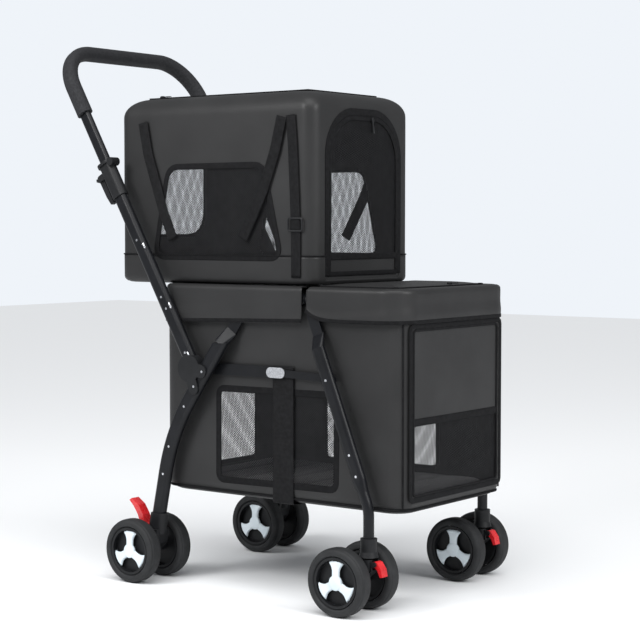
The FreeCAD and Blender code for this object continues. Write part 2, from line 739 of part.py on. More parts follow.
def front_leg_rivets():
    """Bright rivets on one front leg."""
    shapes = [rivet(front_leg_x(z), z, side_out, tube_wall) for z in front_leg_rivet_heights]
    return Part.makeCompound(shapes)


def rear_caster_housing():
    """Moulded foot on the rear leg that holds the axle between the two wheels."""
    half = fork_width / 2
    y0, y1 = track_half - half, track_half + half
    foot_x, foot_z = rear_leg_foot
    rise = (rear_leg_bend[0] - foot_x) / (rear_leg_bend[1] - foot_z)
    boss = disc_y(0, wheel_radius, y0, y1, boss_radius)
    web = plate([(-16, wheel_radius + 4), (foot_x - 18, foot_z + 4), (foot_x + 16, foot_z + 4),
                 (foot_x + 12, wheel_radius + 12), (12, wheel_radius - 12)], y0, y1)
    section = oval_wire(V(foot_x, track_half, foot_z - 6), V(1, 0, 0), V(0, 1, 0),
                        rear_leg_wide + foot_collar_extra, tube_thick + foot_collar_extra)
    collar = Part.Face(section).extrude(V(rise * foot_collar_height, 0, foot_collar_height))
    cheeks = ((-half, -brake_ear_in), (brake_ear_in, half))
    ears = [disc_y(*brake_pivot, track_half + a, track_half + b, brake_ear_radius) for a, b in cheeks]
    arms = [bar(*brake_pivot, foot_x - 6, foot_z - 8, track_half + a, track_half + b, brake_arm_wide)
            for a, b in cheeks]
    body = boss.multiFuse([web, collar] + ears + arms)
    body = body.cut(rear_leg_filled()).cut(disc_y(0, wheel_radius, 0, 400, axle_radius))
    notch_half = (pedal_half + brake_ear_in) / 2 + 0.1
    notch = disc_y(*brake_pivot, track_half - notch_half, track_half + notch_half, brake_arm_wide)
    pin = disc_y(*brake_pivot, track_half - half + 1, track_half + half - 1, brake_pin_radius)
    return max(body.cut(notch).fuse(pin).Solids, key=lambda s: s.Volume)


def brake_pedal():
    """Red brake lever behind a rear caster."""
    x, z = brake_pivot
    y0, y1 = track_half - pedal_half, track_half + pedal_half
    arm = plate([(x + dx, z + dz) for dx, dz in pedal_outline], y0, y1)
    boss = disc_y(x, z, y0, y1, brake_ear_radius)
    return solid_of(arm.fuse(boss).cut(disc_y(x, z, 0, 400, brake_pin_radius + running_fit)))


def caster_socket():
    """Plastic socket pressed on the foot of the front leg."""
    at = V(stem_x, track_half, fork_top + socket_lift)
    body = Part.makeCylinder(socket_radius, socket_height, at)
    lip = Part.makeCone(socket_radius + socket_lip, socket_radius, socket_lip_height, at)
    bore = Part.makeCylinder(stem_tube_radius, socket_height + 40, V(stem_x, track_half, fork_top + 12))
    hole = Part.makeCylinder(stem_radius + running_fit, 40, V(stem_x, track_half, fork_top))
    return body.fuse(lip).cut(bore).cut(hole)


def caster_fork():
    """Moulded swivel fork with its steel stem, between the two front wheels."""
    half = fork_width / 2
    y0, y1 = track_half - half, track_half + half
    boss = disc_y(wheelbase, wheel_radius, y0, y1, boss_radius)
    crown = Part.makeCylinder(crown_radius, crown_height, V(stem_x, track_half, fork_top - crown_height))
    web = plate([(wheelbase - 12, wheel_radius + 12), (wheelbase + 6, fork_top - 6), (stem_x - 14, fork_top - 2),
                 (stem_x + 14, fork_top - 2), (stem_x + 15, fork_top - crown_height),
                 (wheelbase + 14, wheel_radius - 10)], track_half - fork_web_half, track_half + fork_web_half)
    stem = Part.makeCylinder(stem_radius, stem_length, V(stem_x, track_half, fork_top - 1))
    collar = Part.makeCylinder(stem_radius + 4, stem_collar_height, V(stem_x, track_half, fork_top))
    body = boss.multiFuse([crown, web, stem, collar])
    notch_half = lock_half + lever_play
    notch = disc_y(*lock_pivot, track_half - notch_half, track_half + notch_half, 2 * lock_hub_radius + 1)
    ears = disc_y(*lock_pivot, track_half - fork_web_half, track_half + fork_web_half, lock_hub_radius)
    pin = disc_y(*lock_pivot, track_half - fork_web_half, track_half + fork_web_half, lock_pin_radius)
    body = body.fuse(ears).cut(notch).cut(disc_y(wheelbase, wheel_radius, 0, 400, axle_radius)).fuse(pin)
    return max(body.Solids, key=lambda s: s.Volume)


def swivel_lock():
    """Red tab that stops a front caster from swivelling."""
    x, z = lock_pivot
    y0, y1 = track_half - lock_half, track_half + lock_half
    arm = plate([(x + dx, z + dz) for dx, dz in lock_outline], y0, y1)
    body = arm.fuse(disc_y(x, z, y0, y1, lock_hub_radius))
    return solid_of(body.cut(disc_y(x, z, 0, 400, lock_pin_radius + running_fit)))


def axle(x):
    """Steel axle through both wheels of a caster."""
    reach = twin_spacing / 2 + hub_width / 2
    return disc_y(x, wheel_radius, track_half - reach, track_half + reach, axle_radius)


def hub(x, y, outward):
    """Moulded wheel hub: rim, web and boss, with three raised spokes on its outer face."""
    y0, y1 = y - hub_width / 2, y + hub_width / 2
    rim = ring_y(x, wheel_radius, y0, y1, rim_seat_radius, rim_seat_radius - hub_rim_wall)
    web_y = y - hub_web / 2
    web = disc_y(x, wheel_radius, web_y, web_y + hub_web, rim_seat_radius - 4)
    boss = disc_y(x, wheel_radius, y0, y1, hub_boss_radius)
    pieces = [web, boss]
    outer_y = (y, y1 - spoke_recess) if outward > 0 else (y0 + spoke_recess, y)
    for turn in range(3):
        angle = math.radians(90 + 120 * turn)
        end = (x + spoke_reach * math.cos(angle), wheel_radius + spoke_reach * math.sin(angle))
        pieces.append(bar(x, wheel_radius, end[0], end[1], outer_y[0], outer_y[1], spoke_wide))
    body = rim.multiFuse(pieces)
    return solid_of(body.cut(disc_y(x, wheel_radius, 0, 400, axle_radius + running_fit)))


def tyre(x, y):
    """Solid rubber tyre with rounded shoulders."""
    half = tyre_width / 2
    block = disc_y(x, wheel_radius, y - half, y + half, wheel_radius)
    outer_edges = [e for e in block.Edges if abs(e.Length - 2 * math.pi * wheel_radius) < 0.1]
    block = block.makeFillet(tyre_shoulder, outer_edges)
    return block.cut(disc_y(x, wheel_radius, y - half - 1, y + half + 1, rim_seat_radius))


def cabin_form(inset, z0, z1, extra=0.0):
    """Rounded outer form of the cabin, drawn in by inset."""
    block = rounded_block(cabin_rear + inset, cabin_front - inset, cabin_width / 2 - inset, z0, z1,
                          cabin_corner - inset)
    return block.makeFillet(cabin_top_corner - inset, edges_at_height(block, z1))


def door_outline(grow, x):
    """Arched doorway outline in the cabin's front wall."""
    half = door_half + grow
    low = cabin_low + door_low - grow
    high = cabin_low + door_high + grow
    r = door_arch + grow
    k = r * (1 - math.sqrt(0.5))
    return Part.Wire([
        Part.LineSegment(V(x, -half, low), V(x, half, low)).toShape(),
        Part.LineSegment(V(x, half, low), V(x, half, high - r)).toShape(),
        Part.Arc(V(x, half, high - r), V(x, half - k, high - k), V(x, half - r, high)).toShape(),
        Part.LineSegment(V(x, half - r, high), V(x, -half + r, high)).toShape(),
        Part.Arc(V(x, -half + r, high), V(x, -half + k, high - k), V(x, -half, high - r)).toShape(),
        Part.LineSegment(V(x, -half, high - r), V(x, -half, low)).toShape(),
    ])


def carrier_shell():
    """Padded fabric cabin: a rounded box open at the arched front doorway and at the top hatch."""
    top = cabin_low + cabin_height
    outer = cabin_form(0, cabin_low, top)
    inner = cabin_form(cabin_wall, cabin_low + cabin_wall, top - cabin_wall)
    doorway = Part.Face(door_outline(panel_gap, cabin_front - 30)).extrude(V(60, 0, 0))
    hatch = lid_block(panel_gap, top - 30, top + 30)
    return solid_of(outer.cut(inner).cut(doorway).cut(hatch))


def lid_block(grow, z0, z1):
    """Rounded block over the top hatch."""
    return rounded_block(lid_rear - grow, lid_front + grow, lid_half + grow, z0, z1, lid_corner + grow)


def carrier_lid():
    """Zipped top hatch of the cabin."""
    top = cabin_low + cabin_height
    return lid_block(0, top - lid_thick, top)


def carrier_door():
    """Arched mesh door of the cabin, sewn along its lower edge."""
    return Part.Face(door_outline(0, cabin_front - door_setback)).extrude(V(door_thick, 0, 0))


def carrier_base():
    """Stiff board in the bottom of the cabin."""
    inset = cabin_wall + soft_gap
    low = cabin_low + cabin_wall + 0.3
    return rounded_block(cabin_rear + inset, cabin_front - inset, cabin_width / 2 - inset, low,
                         low + board_thick, cabin_corner - inset)


def build():
    """Every named piece of the stroller, still drawn from the rear axle."""
    pieces = {}

    def pair(name, left):
        pieces[name + "_left"] = left
        pieces[name + "_right"] = mirrored(left)

    pair("rear_leg", rear_leg())
    pair("handle_post", handle_post())
    pieces["knuckles"] = both(knuckle())
    pieces["rear_rim"] = rear_rim()
    pieces["front_rim"] = front_rim()
    pieces["frame_rivets"] = frame_rivets()
    pieces["clamp_sleeves"] = both(clamp_sleeve())
    pair("clamp_lever", clamp_lever())
    pieces["rear_caster_housings"] = both(rear_caster_housing())
    pair("brake_pedal", brake_pedal())
    pieces["rear_axles"] = both(axle(0))
    pieces["basket_bag"] = basket_bag()
    pieces["rim_covers"] = rim_covers()
    pieces["basket_front_panel"] = basket_front_panel()
    pieces["basket_top_flap"] = basket_top_flap()
    pieces["basket_floor_board"] = basket_floor_board()
    pieces["support_strap"] = support_strap()
    pieces["link_pins"] = both(link_pin())
    pair("link_rear", link_rear())
    pair("link_front", link_front())
    pieces["handle_tube"] = handle_tube()
    pieces["handle_grip"] = handle_grip()
    pair("front_leg", front_leg())
    pair("front_leg_rivets", front_leg_rivets())
    pair("caster_socket", caster_socket())
    pair("caster_fork", caster_fork())
    pair("swivel_lock", swivel_lock())
    pair("front_axle", axle(wheelbase))
    for end, x in (("rear", 0.0), ("front", wheelbase)):
        for place, outward in (("outer", 1), ("inner", -1)):
            y = track_half + outward * twin_spacing / 2
            pair(f"{end}_{place}_hub", hub(x, y, outward))
            pair(f"{end}_{place}_tyre", tyre(x, y))
    pieces["carrier_shell"] = carrier_shell()
    pieces["carrier_lid"] = carrier_lid()
    pieces["carrier_door"] = carrier_door()
    pieces["carrier_base"] = carrier_base()
    return pieces


def footprint_middle(pieces):
    """Middle of the whole stroller from back to front."""
    rear = pieces["handle_grip"].optimalBoundingBox(False, False).XMin
    return (rear + basket_front) / 2


pieces = build()
origin_shift = footprint_middle(pieces)
os.makedirs("parts", exist_ok=True)
for name, shape in pieces.items():
    moved = shape.copy()
    moved.translate(V(-origin_shift, 0, 0))
    moved.exportStep(f"parts/{name}.step")
print(len(pieces), "pieces, origin", round(origin_shift, 3), "mm ahead of the rear axle")
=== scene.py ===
import math
import bpy
import bmesh
import numpy as np
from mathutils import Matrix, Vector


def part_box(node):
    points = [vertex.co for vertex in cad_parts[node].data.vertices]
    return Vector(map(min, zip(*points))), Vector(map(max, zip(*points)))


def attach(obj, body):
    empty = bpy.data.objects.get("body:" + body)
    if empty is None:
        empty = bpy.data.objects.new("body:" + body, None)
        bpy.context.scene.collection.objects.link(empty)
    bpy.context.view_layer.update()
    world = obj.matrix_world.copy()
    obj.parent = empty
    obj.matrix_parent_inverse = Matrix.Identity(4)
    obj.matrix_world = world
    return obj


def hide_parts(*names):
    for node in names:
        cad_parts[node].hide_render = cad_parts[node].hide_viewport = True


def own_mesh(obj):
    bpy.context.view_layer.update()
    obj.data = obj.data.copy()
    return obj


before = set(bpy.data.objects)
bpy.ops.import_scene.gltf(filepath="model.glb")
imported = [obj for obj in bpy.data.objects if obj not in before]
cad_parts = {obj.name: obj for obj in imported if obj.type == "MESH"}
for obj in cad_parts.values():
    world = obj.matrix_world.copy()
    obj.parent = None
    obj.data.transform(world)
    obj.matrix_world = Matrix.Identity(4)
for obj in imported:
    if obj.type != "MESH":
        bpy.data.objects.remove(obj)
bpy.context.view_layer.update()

# Where things are measured from: the rear axle's line, as a maker would set the frame up.
# Lengths along the stroller are given in millimetres ahead of that line and above the ground.
axle_low, axle_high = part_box("rear_axles")
rear_axle = (axle_low.x + axle_high.x) / 2


def place(x, y, z):
    """Points in metres in the shared frame, from millimetres ahead of the rear axle, leftwards and up."""
    x, y, z = np.broadcast_arrays(np.asarray(x, float), np.asarray(y, float), np.asarray(z, float))
    return np.stack([x / 1000 + rear_axle, y / 1000, z / 1000], axis=-1)


# Camera: a long lens a little above the basket's rim, ahead of the stroller and to its right.
eye = place(2303.3, -2699.2, 709.7)
lens = bpy.data.cameras.new("view")
lens.lens = 95.52
lens.sensor_width = 36.0
camera = bpy.data.objects.new("view", lens)
bpy.context.scene.collection.objects.link(camera)
camera.location = eye
camera.rotation_euler = (math.radians(90 - 3.21), 0.0, math.radians(36.82))
bpy.context.scene.camera = camera

# Studio: a pale floor that runs out of sight, a sun lamp overhead and soft panels to the front and to one side.
# The floor is only a stage. The camera sees a bright sky, and the light that falls from it is gentler.
floor_mesh = bpy.data.meshes.new("studio_floor")
floor_mesh.from_pydata([(-9, -9, 0), (9, -9, 0), (9, 9, 0), (-9, 9, 0)], [], [(0, 1, 2, 3)])
studio_floor = bpy.data.objects.new("studio_floor", floor_mesh)
bpy.context.scene.collection.objects.link(studio_floor)
floor_paint = bpy.data.materials.new("studio_floor")
floor_paint.use_nodes = True
floor_paint.node_tree.nodes["Principled BSDF"].inputs["Base Color"].default_value = (0.86, 0.87, 0.88, 1)
floor_paint.node_tree.nodes["Principled BSDF"].inputs["Roughness"].default_value = 0.7
floor_mesh.materials.append(floor_paint)
sky = bpy.data.worlds.new("studio")
sky.use_nodes = True
nodes, links = sky.node_tree.nodes, sky.node_tree.links
seen_sky = nodes["Background"]
seen_sky.inputs["Color"].default_value = (0.91, 0.95, 1.0, 1)
seen_sky.inputs["Strength"].default_value = 0.95
soft_sky = nodes.new("ShaderNodeBackground")
soft_sky.inputs["Color"].default_value = (0.93, 0.96, 1.0, 1)
soft_sky.inputs["Strength"].default_value = 0.30
ray = nodes.new("ShaderNodeLightPath")
either = nodes.new("ShaderNodeMixShader")
links.new(ray.outputs["Is Camera Ray"], either.inputs[0])
links.new(soft_sky.outputs[0], either.inputs[1])
links.new(seen_sky.outputs[0], either.inputs[2])
links.new(either.outputs[0], nodes["World Output"].inputs["Surface"])
bpy.context.scene.world = sky
bpy.context.scene.view_settings.view_transform = "Standard"


def soft_panel(name, at, towards, size, watts):
    """A square lamp at a point, turned to face another point."""
    lamp = bpy.data.lights.new(name, "AREA")
    lamp.size = size
    lamp.energy = watts
    holder = bpy.data.objects.new(name, lamp)
    bpy.context.scene.collection.objects.link(holder)
    holder.location = at
    aim = np.array(towards, float) - np.array(at, float)
    flat = math.hypot(aim[0], aim[1])
    holder.rotation_euler = (math.atan2(flat, -aim[2]), 0, math.atan2(aim[1], aim[0]) - math.pi / 2)


sunlight = bpy.data.lights.new("overhead", "SUN")
sunlight.energy = 2.3
sunlight.angle = 0.9
sun = bpy.data.objects.new("overhead", sunlight)
bpy.context.scene.collection.objects.link(sun)
sun.rotation_euler = (0.42, 0.30, 0.0)
soft_panel("front", (3.2, -0.2, 2.2), (0, 0, 0.6), 1.6, 70)
soft_panel("side", (-0.6, -2.1, 1.9), (0.05, -0.1, 0.86), 1.0, 42)


# Powder coat: satin black over steel tube, with the faint orange peel that the oven leaves.
# It covers both pairs of legs, the posts, the telescoping handle, the rims and the side braces.
class Tone:
    """A shader socket that arithmetic can be written on."""

    def __init__(self, tree, socket=None):
        self.tree = tree
        self.socket = socket

    def node(self, kind, settings=None, sockets=None, out=0):
        """Adds a node, sets it up, then feeds its sockets with values or other tones."""
        made = self.tree.nodes.new("ShaderNode" + kind)
        for key, value in (settings or {}).items():
            if key == "stops":
                for stop, (position, colour) in zip(made.color_ramp.elements, value):
                    stop.position = position
                    stop.color = (*colour, 1)
            else:
                setattr(made, key, value)
        for key, value in (sockets or {}).items():
            if isinstance(value, Tone):
                self.tree.links.new(value.socket, made.inputs[key])
            else:
                made.inputs[key].default_value = value
        return Tone(self.tree, made.outputs[out])

    def math(self, operation, a, b=0.0):
        return self.node("Math", {"operation": operation}, {0: a, 1: b})

    def __add__(self, other): return self.math("ADD", self, other)
    def __radd__(self, other): return self.math("ADD", other, self)
    def __sub__(self, other): return self.math("SUBTRACT", self, other)
    def __rsub__(self, other): return self.math("SUBTRACT", other, self)
    def __mul__(self, other): return self.math("MULTIPLY", self, other)
    def __rmul__(self, other): return self.math("MULTIPLY", other, self)
    def __gt__(self, other): return self.math("GREATER_THAN", self, other)
    def __lt__(self, other): return self.math("LESS_THAN", self, other)
    def sine(self): return self.math("SINE", self)
    def size(self): return self.math("ABSOLUTE", self)


def drive(tone, shader, socket):
    """Links a tone into one of a shader's sockets."""
    tone.tree.links.new(tone.socket, shader.inputs[socket])


def parts_of(tone):
    """The three parts of a place, in metres, or of a map, each as a tone."""
    split = tone.node("SeparateXYZ", sockets={0: tone}).socket.node
    return [Tone(tone.tree, socket) for socket in split.outputs]


def speckle(spot, scale, detail=3.0):
    """Soft noise from 0 to 1 at that many lumps a metre."""
    return spot.node("TexNoise", sockets={"Vector": spot, "Scale": scale, "Detail": detail})


def shade(amount, dark, light):
    """A colour between two, by a tone from 0 to 1."""
    return amount.node("ValToRGB", {"stops": [(0.3, dark), (0.7, light)]}, {0: amount})


def relief(height, strength, depth):
    """A bump from a height tone; depth is in metres."""
    return height.node("Bump", sockets={"Height": height, "Strength": strength, "Distance": depth})


def new_finish(name, lumps, dark, light, smoothest=None, rougher=0.0, patches=0.0, detail=3.0, **constants):
    """A finish whose colour runs from dark to light and whose roughness rises from smoothest, by soft noise.

    Lumps and patches are counted a metre. It gives the material, its places as a tone, and its shader.
    """
    made = bpy.data.materials.new(name)
    made.use_nodes = True
    shader = made.node_tree.nodes["Principled BSDF"]
    for key, value in constants.items():
        shader.inputs[key.replace("_", " ")].default_value = value
    spot = Tone(made.node_tree).node("TexCoord", out=3)
    drive(shade(speckle(spot, lumps, detail), dark, light), shader, "Base Color")
    if smoothest is not None:
        drive(smoothest + speckle(spot, patches) * rougher, shader, "Roughness")
    return made, spot, shader


powder_coat, spot, shader = new_finish(
    "powder_coat", lumps=18, dark=(0.0035, 0.004, 0.005), light=(0.007, 0.0075, 0.0095),
    smoothest=0.30, rougher=0.16, patches=55, IOR=1.3, Coat_Weight=0.03, Coat_Roughness=0.2)
drive(relief(speckle(spot, 1400, 1), 0.12, 0.0003), shader, "Normal")


def dress(finish, *nodes):
    """Gives CAD nodes that finish in place of their plain one."""
    for node in nodes:
        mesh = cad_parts[node].data
        mesh.materials.clear()
        mesh.materials.append(finish)


sides = {"left": 1, "right": -1}
dress(powder_coat, "handle_tube", "rear_rim", "front_rim",
      *[f"{part}_{side}" for side in sides
        for part in ("rear_leg", "handle_post", "front_leg", "link_rear", "link_front")])


# Moulded nylon: the knuckles, clamp collars and levers, sockets, forks and foot housings.
# It is a fine spark-eroded grain, a shade greyer than the tubes.
nylon, spot, shader = new_finish(
    "nylon", lumps=30, dark=(0.006, 0.0065, 0.0075), light=(0.011, 0.0115, 0.013),
    smoothest=0.42, rougher=0.14, patches=90, IOR=1.33)
drive(relief(speckle(spot, 2600, 2), 0.25, 0.0002), shader, "Normal")
dress(nylon, "knuckles", "clamp_sleeves", "rear_caster_housings",
      *[f"{part}_{side}" for side in sides for part in ("clamp_lever", "caster_socket", "caster_fork")])

# Red acetal: the brake pedals and the swivel locks, the only coloured parts.
# It is glossy, with a slight depth of tone where the moulding is thick.
red_acetal, spot, shader = new_finish(
    "red_acetal", lumps=40, dark=(0.50, 0.012, 0.016), light=(0.66, 0.022, 0.028),
    smoothest=0.22, rougher=0.12, patches=120, IOR=1.5, Coat_Weight=0.35, Coat_Roughness=0.12)
drive(relief(speckle(spot, 900, 2), 0.1, 0.0002), shader, "Normal")
dress(red_acetal, *[f"{part}_{side}" for side in sides for part in ("brake_pedal", "swivel_lock")])

# Bright steel: rivets, axles and the keeper plates of the side braces.
# It is plated and polished, with hair scratches.
bright_steel, spot, shader = new_finish(
    "bright_steel", lumps=300, dark=(0.52, 0.53, 0.56), light=(0.74, 0.75, 0.78),
    smoothest=0.16, rougher=0.22, patches=700, Metallic=1.0)
dress(bright_steel, "frame_rivets", "rear_axles", "link_pins",
      *[f"{part}_{side}" for side in sides for part in ("front_leg_rivets", "front_axle")])

# Foam grip: soft black foam with an open-pored skin over the whole upper U of the handle.
foam, spot, shader = new_finish(
    "foam", lumps=260, detail=4, dark=(0.008, 0.008, 0.0095), light=(0.021, 0.022, 0.025),
    smoothest=0.72, rougher=0.16, patches=80, IOR=1.4)
pores = speckle(spot, 1500, 2)
ribs = (parts_of(spot)[1] * 1250.0).sine() * 0.15
drive(relief(pores + ribs, 0.5, 0.0006), shader, "Normal")
dress(foam, "handle_grip")


# Tyres: solid rubber with round shoulders and fine grooves round the tread.
# Each is one ring turned about its axle; the moulded hub underneath stays as it is.
def quads(rows, columns, wrap_rows=False, wrap_columns=False):
    """Four-cornered faces of a grid of points, row by row."""
    i = np.arange(rows if wrap_rows else rows - 1)
    j = np.arange(columns if wrap_columns else columns - 1)
    i, j = np.meshgrid(i, j, indexing="ij")
    i2, j2 = (i + 1) % rows, (j + 1) % columns
    corners = [i * columns + j, i * columns + j2, i2 * columns + j2, i2 * columns + j]
    return np.stack(corners, axis=-1).reshape(-1, 4)


def make_piece(name, points, faces, finish, body, uv=None, merge=0.0, flip=False):
    """A piece from points and faces, smooth, with its place in its mesh, riding on a body."""
    points = np.asarray(points, float).reshape(-1, 3)
    faces = np.asarray(faces)
    if flip:
        faces = faces[:, ::-1]
    mesh = bpy.data.meshes.new(name)
    mesh.from_pydata(points.tolist(), [], faces.tolist())
    if uv is not None:
        flat = np.asarray(uv, float).reshape(-1, 2)[faces.reshape(-1)]
        mesh.uv_layers.new(name="cloth").data.foreach_set("uv", flat.reshape(-1))
    if merge:
        work = bmesh.new()
        work.from_mesh(mesh)
        bmesh.ops.remove_doubles(work, verts=work.verts, dist=merge)
        bmesh.ops.dissolve_degenerate(work, edges=work.edges, dist=1e-7)
        work.to_mesh(mesh)
        work.free()
    mesh.polygons.foreach_set("use_smooth", np.ones(len(mesh.polygons), bool))
    mesh.update()
    piece = bpy.data.objects.new(name, mesh)
    bpy.context.scene.collection.objects.link(piece)
    mesh.materials.append(finish)
    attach(piece, body)
    return piece


tyre_rubber, spot, shader = new_finish(
    "tyre_rubber", lumps=45, detail=4, dark=(0.009, 0.0095, 0.0105), light=(0.018, 0.019, 0.0205),
    smoothest=0.60, rougher=0.2, patches=160, IOR=1.42)
drive(relief(speckle(spot, 1800, 2), 0.2, 0.0003), shader, "Normal")


def tyre_ring(centre_x, centre_y, centre_z):
    """Radius by sideways place: a flat-topped round, less narrow dips for the grooves; turned about y."""
    half_width, seat, tread, bead = 16.5, 53, 10.4, 5.7
    groove_depth, groove_half, turns = 1.5, 0.9, 96
    lean = np.linspace(0, 2 * np.pi, 72, endpoint=False)
    side = half_width * np.sign(np.cos(lean)) * np.abs(np.cos(lean)) ** 0.6
    rise = np.sign(np.sin(lean)) * np.abs(np.sin(lean)) ** 0.75
    radius = np.where(rise > 0, seat + tread * rise, seat + bead * rise)
    for groove in (-10.5, 10.5):
        radius = radius - np.where(rise > 0, groove_depth, 0) * np.exp(-((side - groove) / groove_half) ** 2)
    turn = np.linspace(0, 2 * np.pi, turns, endpoint=False)[:, None]
    points = place(centre_x + radius * np.cos(turn), centre_y + side + 0 * turn, centre_z + radius * np.sin(turn))
    return points, quads(turns, len(lean), True, True)


def wheel_place(end, row, side):
    """Middle of a wheel in millimetres ahead of the rear axle, leftwards and up, from its CAD tyre."""
    low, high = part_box(f"{end}_{row}_tyre_{side}")
    mid = (low + high) / 2 * 1000
    return mid.x - rear_axle * 1000, mid.y, mid.z


wheels = [(end, row, side) for end in ("rear", "front") for row in ("outer", "inner") for side in sides]
for end, row, side in wheels:
    points, faces = tyre_ring(*wheel_place(end, row, side))
    ring = make_piece(f"{end}_{row}_tread_{side}", points, faces, tyre_rubber, f"{end}_{row}_wheel_{side}")
    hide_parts(f"{end}_{row}_tyre_{side}")

# Hubs: black moulded dishes; the pale three-armed cover on each outward face is painted silver.
# The arms flare where they meet the rim, and a low cap hides the end of the axle.
hub_nylon = nylon.copy()
hub_nylon.name = "hub_nylon"
dress(hub_nylon, *[f"{end}_{row}_hub_{side}" for end, row, side in wheels])
silver_paint, spot, shader = new_finish(
    "silver_paint", lumps=30, dark=(0.60, 0.68, 0.73), light=(0.72, 0.80, 0.85),
    smoothest=0.30, rougher=0.14, patches=200, IOR=1.5, Coat_Weight=0.3, Coat_Roughness=0.15)
drive(relief(speckle(spot, 2200, 1), 0.08, 0.0002), shader, "Normal")


def spoke_arms(x, y, z, out):
    """Each arm: half width by radius flares at both ends; a low crown falls to its edges. A turned cap is added."""
    root, tip, narrow, dish = 5, 40.5, 8.2, 9.2
    points, faces, count = [], [], 0
    radius = np.linspace(root, tip, 20)[:, None]
    across = np.linspace(-1, 1, 15)[None, :]
    half = narrow + 2.5 * np.exp(-((radius - root) / 7) ** 2) + 9.5 * np.clip((radius - 22) / 18, 0, 1) ** 1.7
    edge = np.clip((1 - np.abs(across)) / 0.16, 0, 1) ** 0.5 * np.clip((40.6 - radius) / 2.2, 0, 1) ** 0.5
    height = dish + 3.6 * edge + 0.5 * (1 - across ** 2) - 0.9 * np.clip((radius - 10) / 30, 0, 1)
    for arm in range(3):
        angle = math.radians(90 + 120 * arm) + across * half / np.maximum(radius, 9)
        grid = place(x + radius * np.cos(angle), y + out * height, z + radius * np.sin(angle))
        points.append(grid.reshape(-1, 3))
        faces.append(quads(20, 15) + count)
        count += len(points[-1])
    radius = np.array([14.0, 14.0, 13.4, 11.5, 7.0, 3.0, 0.0])[:, None]
    height = np.array([9.0, 12.6, 13.4, 13.9, 14.2, 14.3, 14.3])[:, None]
    angle = np.linspace(0, 2 * np.pi, 40, endpoint=False)[None, :]
    cap = place(x + radius * np.cos(angle), y + out * height + 0 * angle, z + radius * np.sin(angle))
    points.append(cap.reshape(-1, 3))
    faces.append(quads(7, 40, False, True) + count)
    return np.concatenate(points), np.concatenate(faces)


for end, row, side in wheels:
    x, y, z = wheel_place(end, row, side)
    out = (1 if row == "outer" else -1) * sides[side]
    points, faces = spoke_arms(x, y, z, out)
    cover = make_piece(f"{end}_{row}_spokes_{side}", points, faces, silver_paint,
                       f"{end}_{row}_wheel_{side}", merge=1e-6, flip=out > 0)


# Carrier walls: padded panels of dense black polyester with a thin coating, so folds catch a soft light.
# The weave is far finer than a millimetre; slow swells in the foam behind it move the light.
coated_cloth, spot, shader = new_finish(
    "coated_cloth", lumps=7, detail=4, dark=(0.0150, 0.0150, 0.0154), light=(0.0225, 0.0225, 0.0230),
    smoothest=0.44, rougher=0.14, patches=22, IOR=1.3, Coat_Weight=0.14, Coat_Roughness=0.3)
tx, ty, tz = parts_of(spot)
weave = ((tx + ty) * 5200.0).sine() * ((tz + tx - ty) * 5200.0).sine()
swell = speckle(spot, 9, 2)
fine = relief(weave, 0.16, 0.0002)
slow = swell.node("Bump", sockets={"Height": swell, "Strength": 0.35, "Distance": 0.006, "Normal": fine})
drive(slow, shader, "Normal")


def ripple(points, size, reach):
    """Small unevenness of sewn cloth: a sum of slow waves in fixed directions, size in metres."""
    rng = np.random.default_rng(11)
    total = np.zeros(points.shape[:-1])
    for _ in range(6):
        way = rng.normal(size=3)
        way /= np.linalg.norm(way)
        total += np.sin(points @ way * 2 * np.pi / (reach * rng.uniform(0.6, 1.5)) + rng.uniform(0, 6))
    return total * size / 6


def rounded_loop(x0, x1, half, corner, steps):
    """Walk round a rounded rectangle from its rear side's middle: heading turns evenly in the corners only."""
    long, wide, arc = x1 - x0 - 2 * corner, 2 * (half - corner), math.pi * corner / 2
    runs = [wide / 2, arc, long, arc, wide, arc, long, arc, wide / 2]
    along, across, bend = steps
    counts = [across // 2, bend, along, bend, across, bend, along, bend, across // 2]
    marks = np.concatenate([[0], np.cumsum(runs)])
    turns = np.radians(np.cumsum([-90, 0, 90, 0, 90, 0, 90, 0, 90, 0]))
    s = np.concatenate([np.linspace(a, b, n, endpoint=False) for a, b, n in zip(marks, marks[1:], counts)])
    fine = np.linspace(0, marks[-1], 24001)
    heading = np.interp((fine[1:] + fine[:-1]) / 2, marks, turns)
    step = fine[1] - fine[0]
    x = x0 + np.concatenate([[0], np.cumsum(np.cos(heading))]) * step
    y = np.concatenate([[0], np.cumsum(np.sin(heading))]) * step
    way = np.interp(s, marks, turns)
    return np.interp(s, fine, x), np.interp(s, fine, y), np.sin(way), -np.cos(way)


def span(node):
    """A CAD node in millimetres: rear and front ahead of the rear axle, half its width, bottom and top."""
    low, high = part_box(node)
    return (low.x - rear_axle) * 1000, (high.x - rear_axle) * 1000, high.y * 1000, low.z * 1000, high.z * 1000


cx0, cx1, chalf, cz0, cz1 = span("carrier_shell")
cabin_corner = 26
loop_steps = (92, 54, 10)


def cabin_crown(x, y, z, nx, ny):
    """How far the cabin's walls swell out: each wall is fullest at its middle and held at its seams."""
    side_swell, end_swell = 3.2, 3.0
    along = np.clip((x - cx0) / (cx1 - cx0), 0, 1)
    across = np.clip((y + chalf) / (2 * chalf), 0, 1)
    up = np.clip((z - cz0) / (cz1 - cz0), 0, 1)
    swell = side_swell * np.abs(ny) * np.sin(np.pi * along) + end_swell * np.abs(nx) * np.sin(np.pi * across)
    return swell * np.sin(np.pi * up)


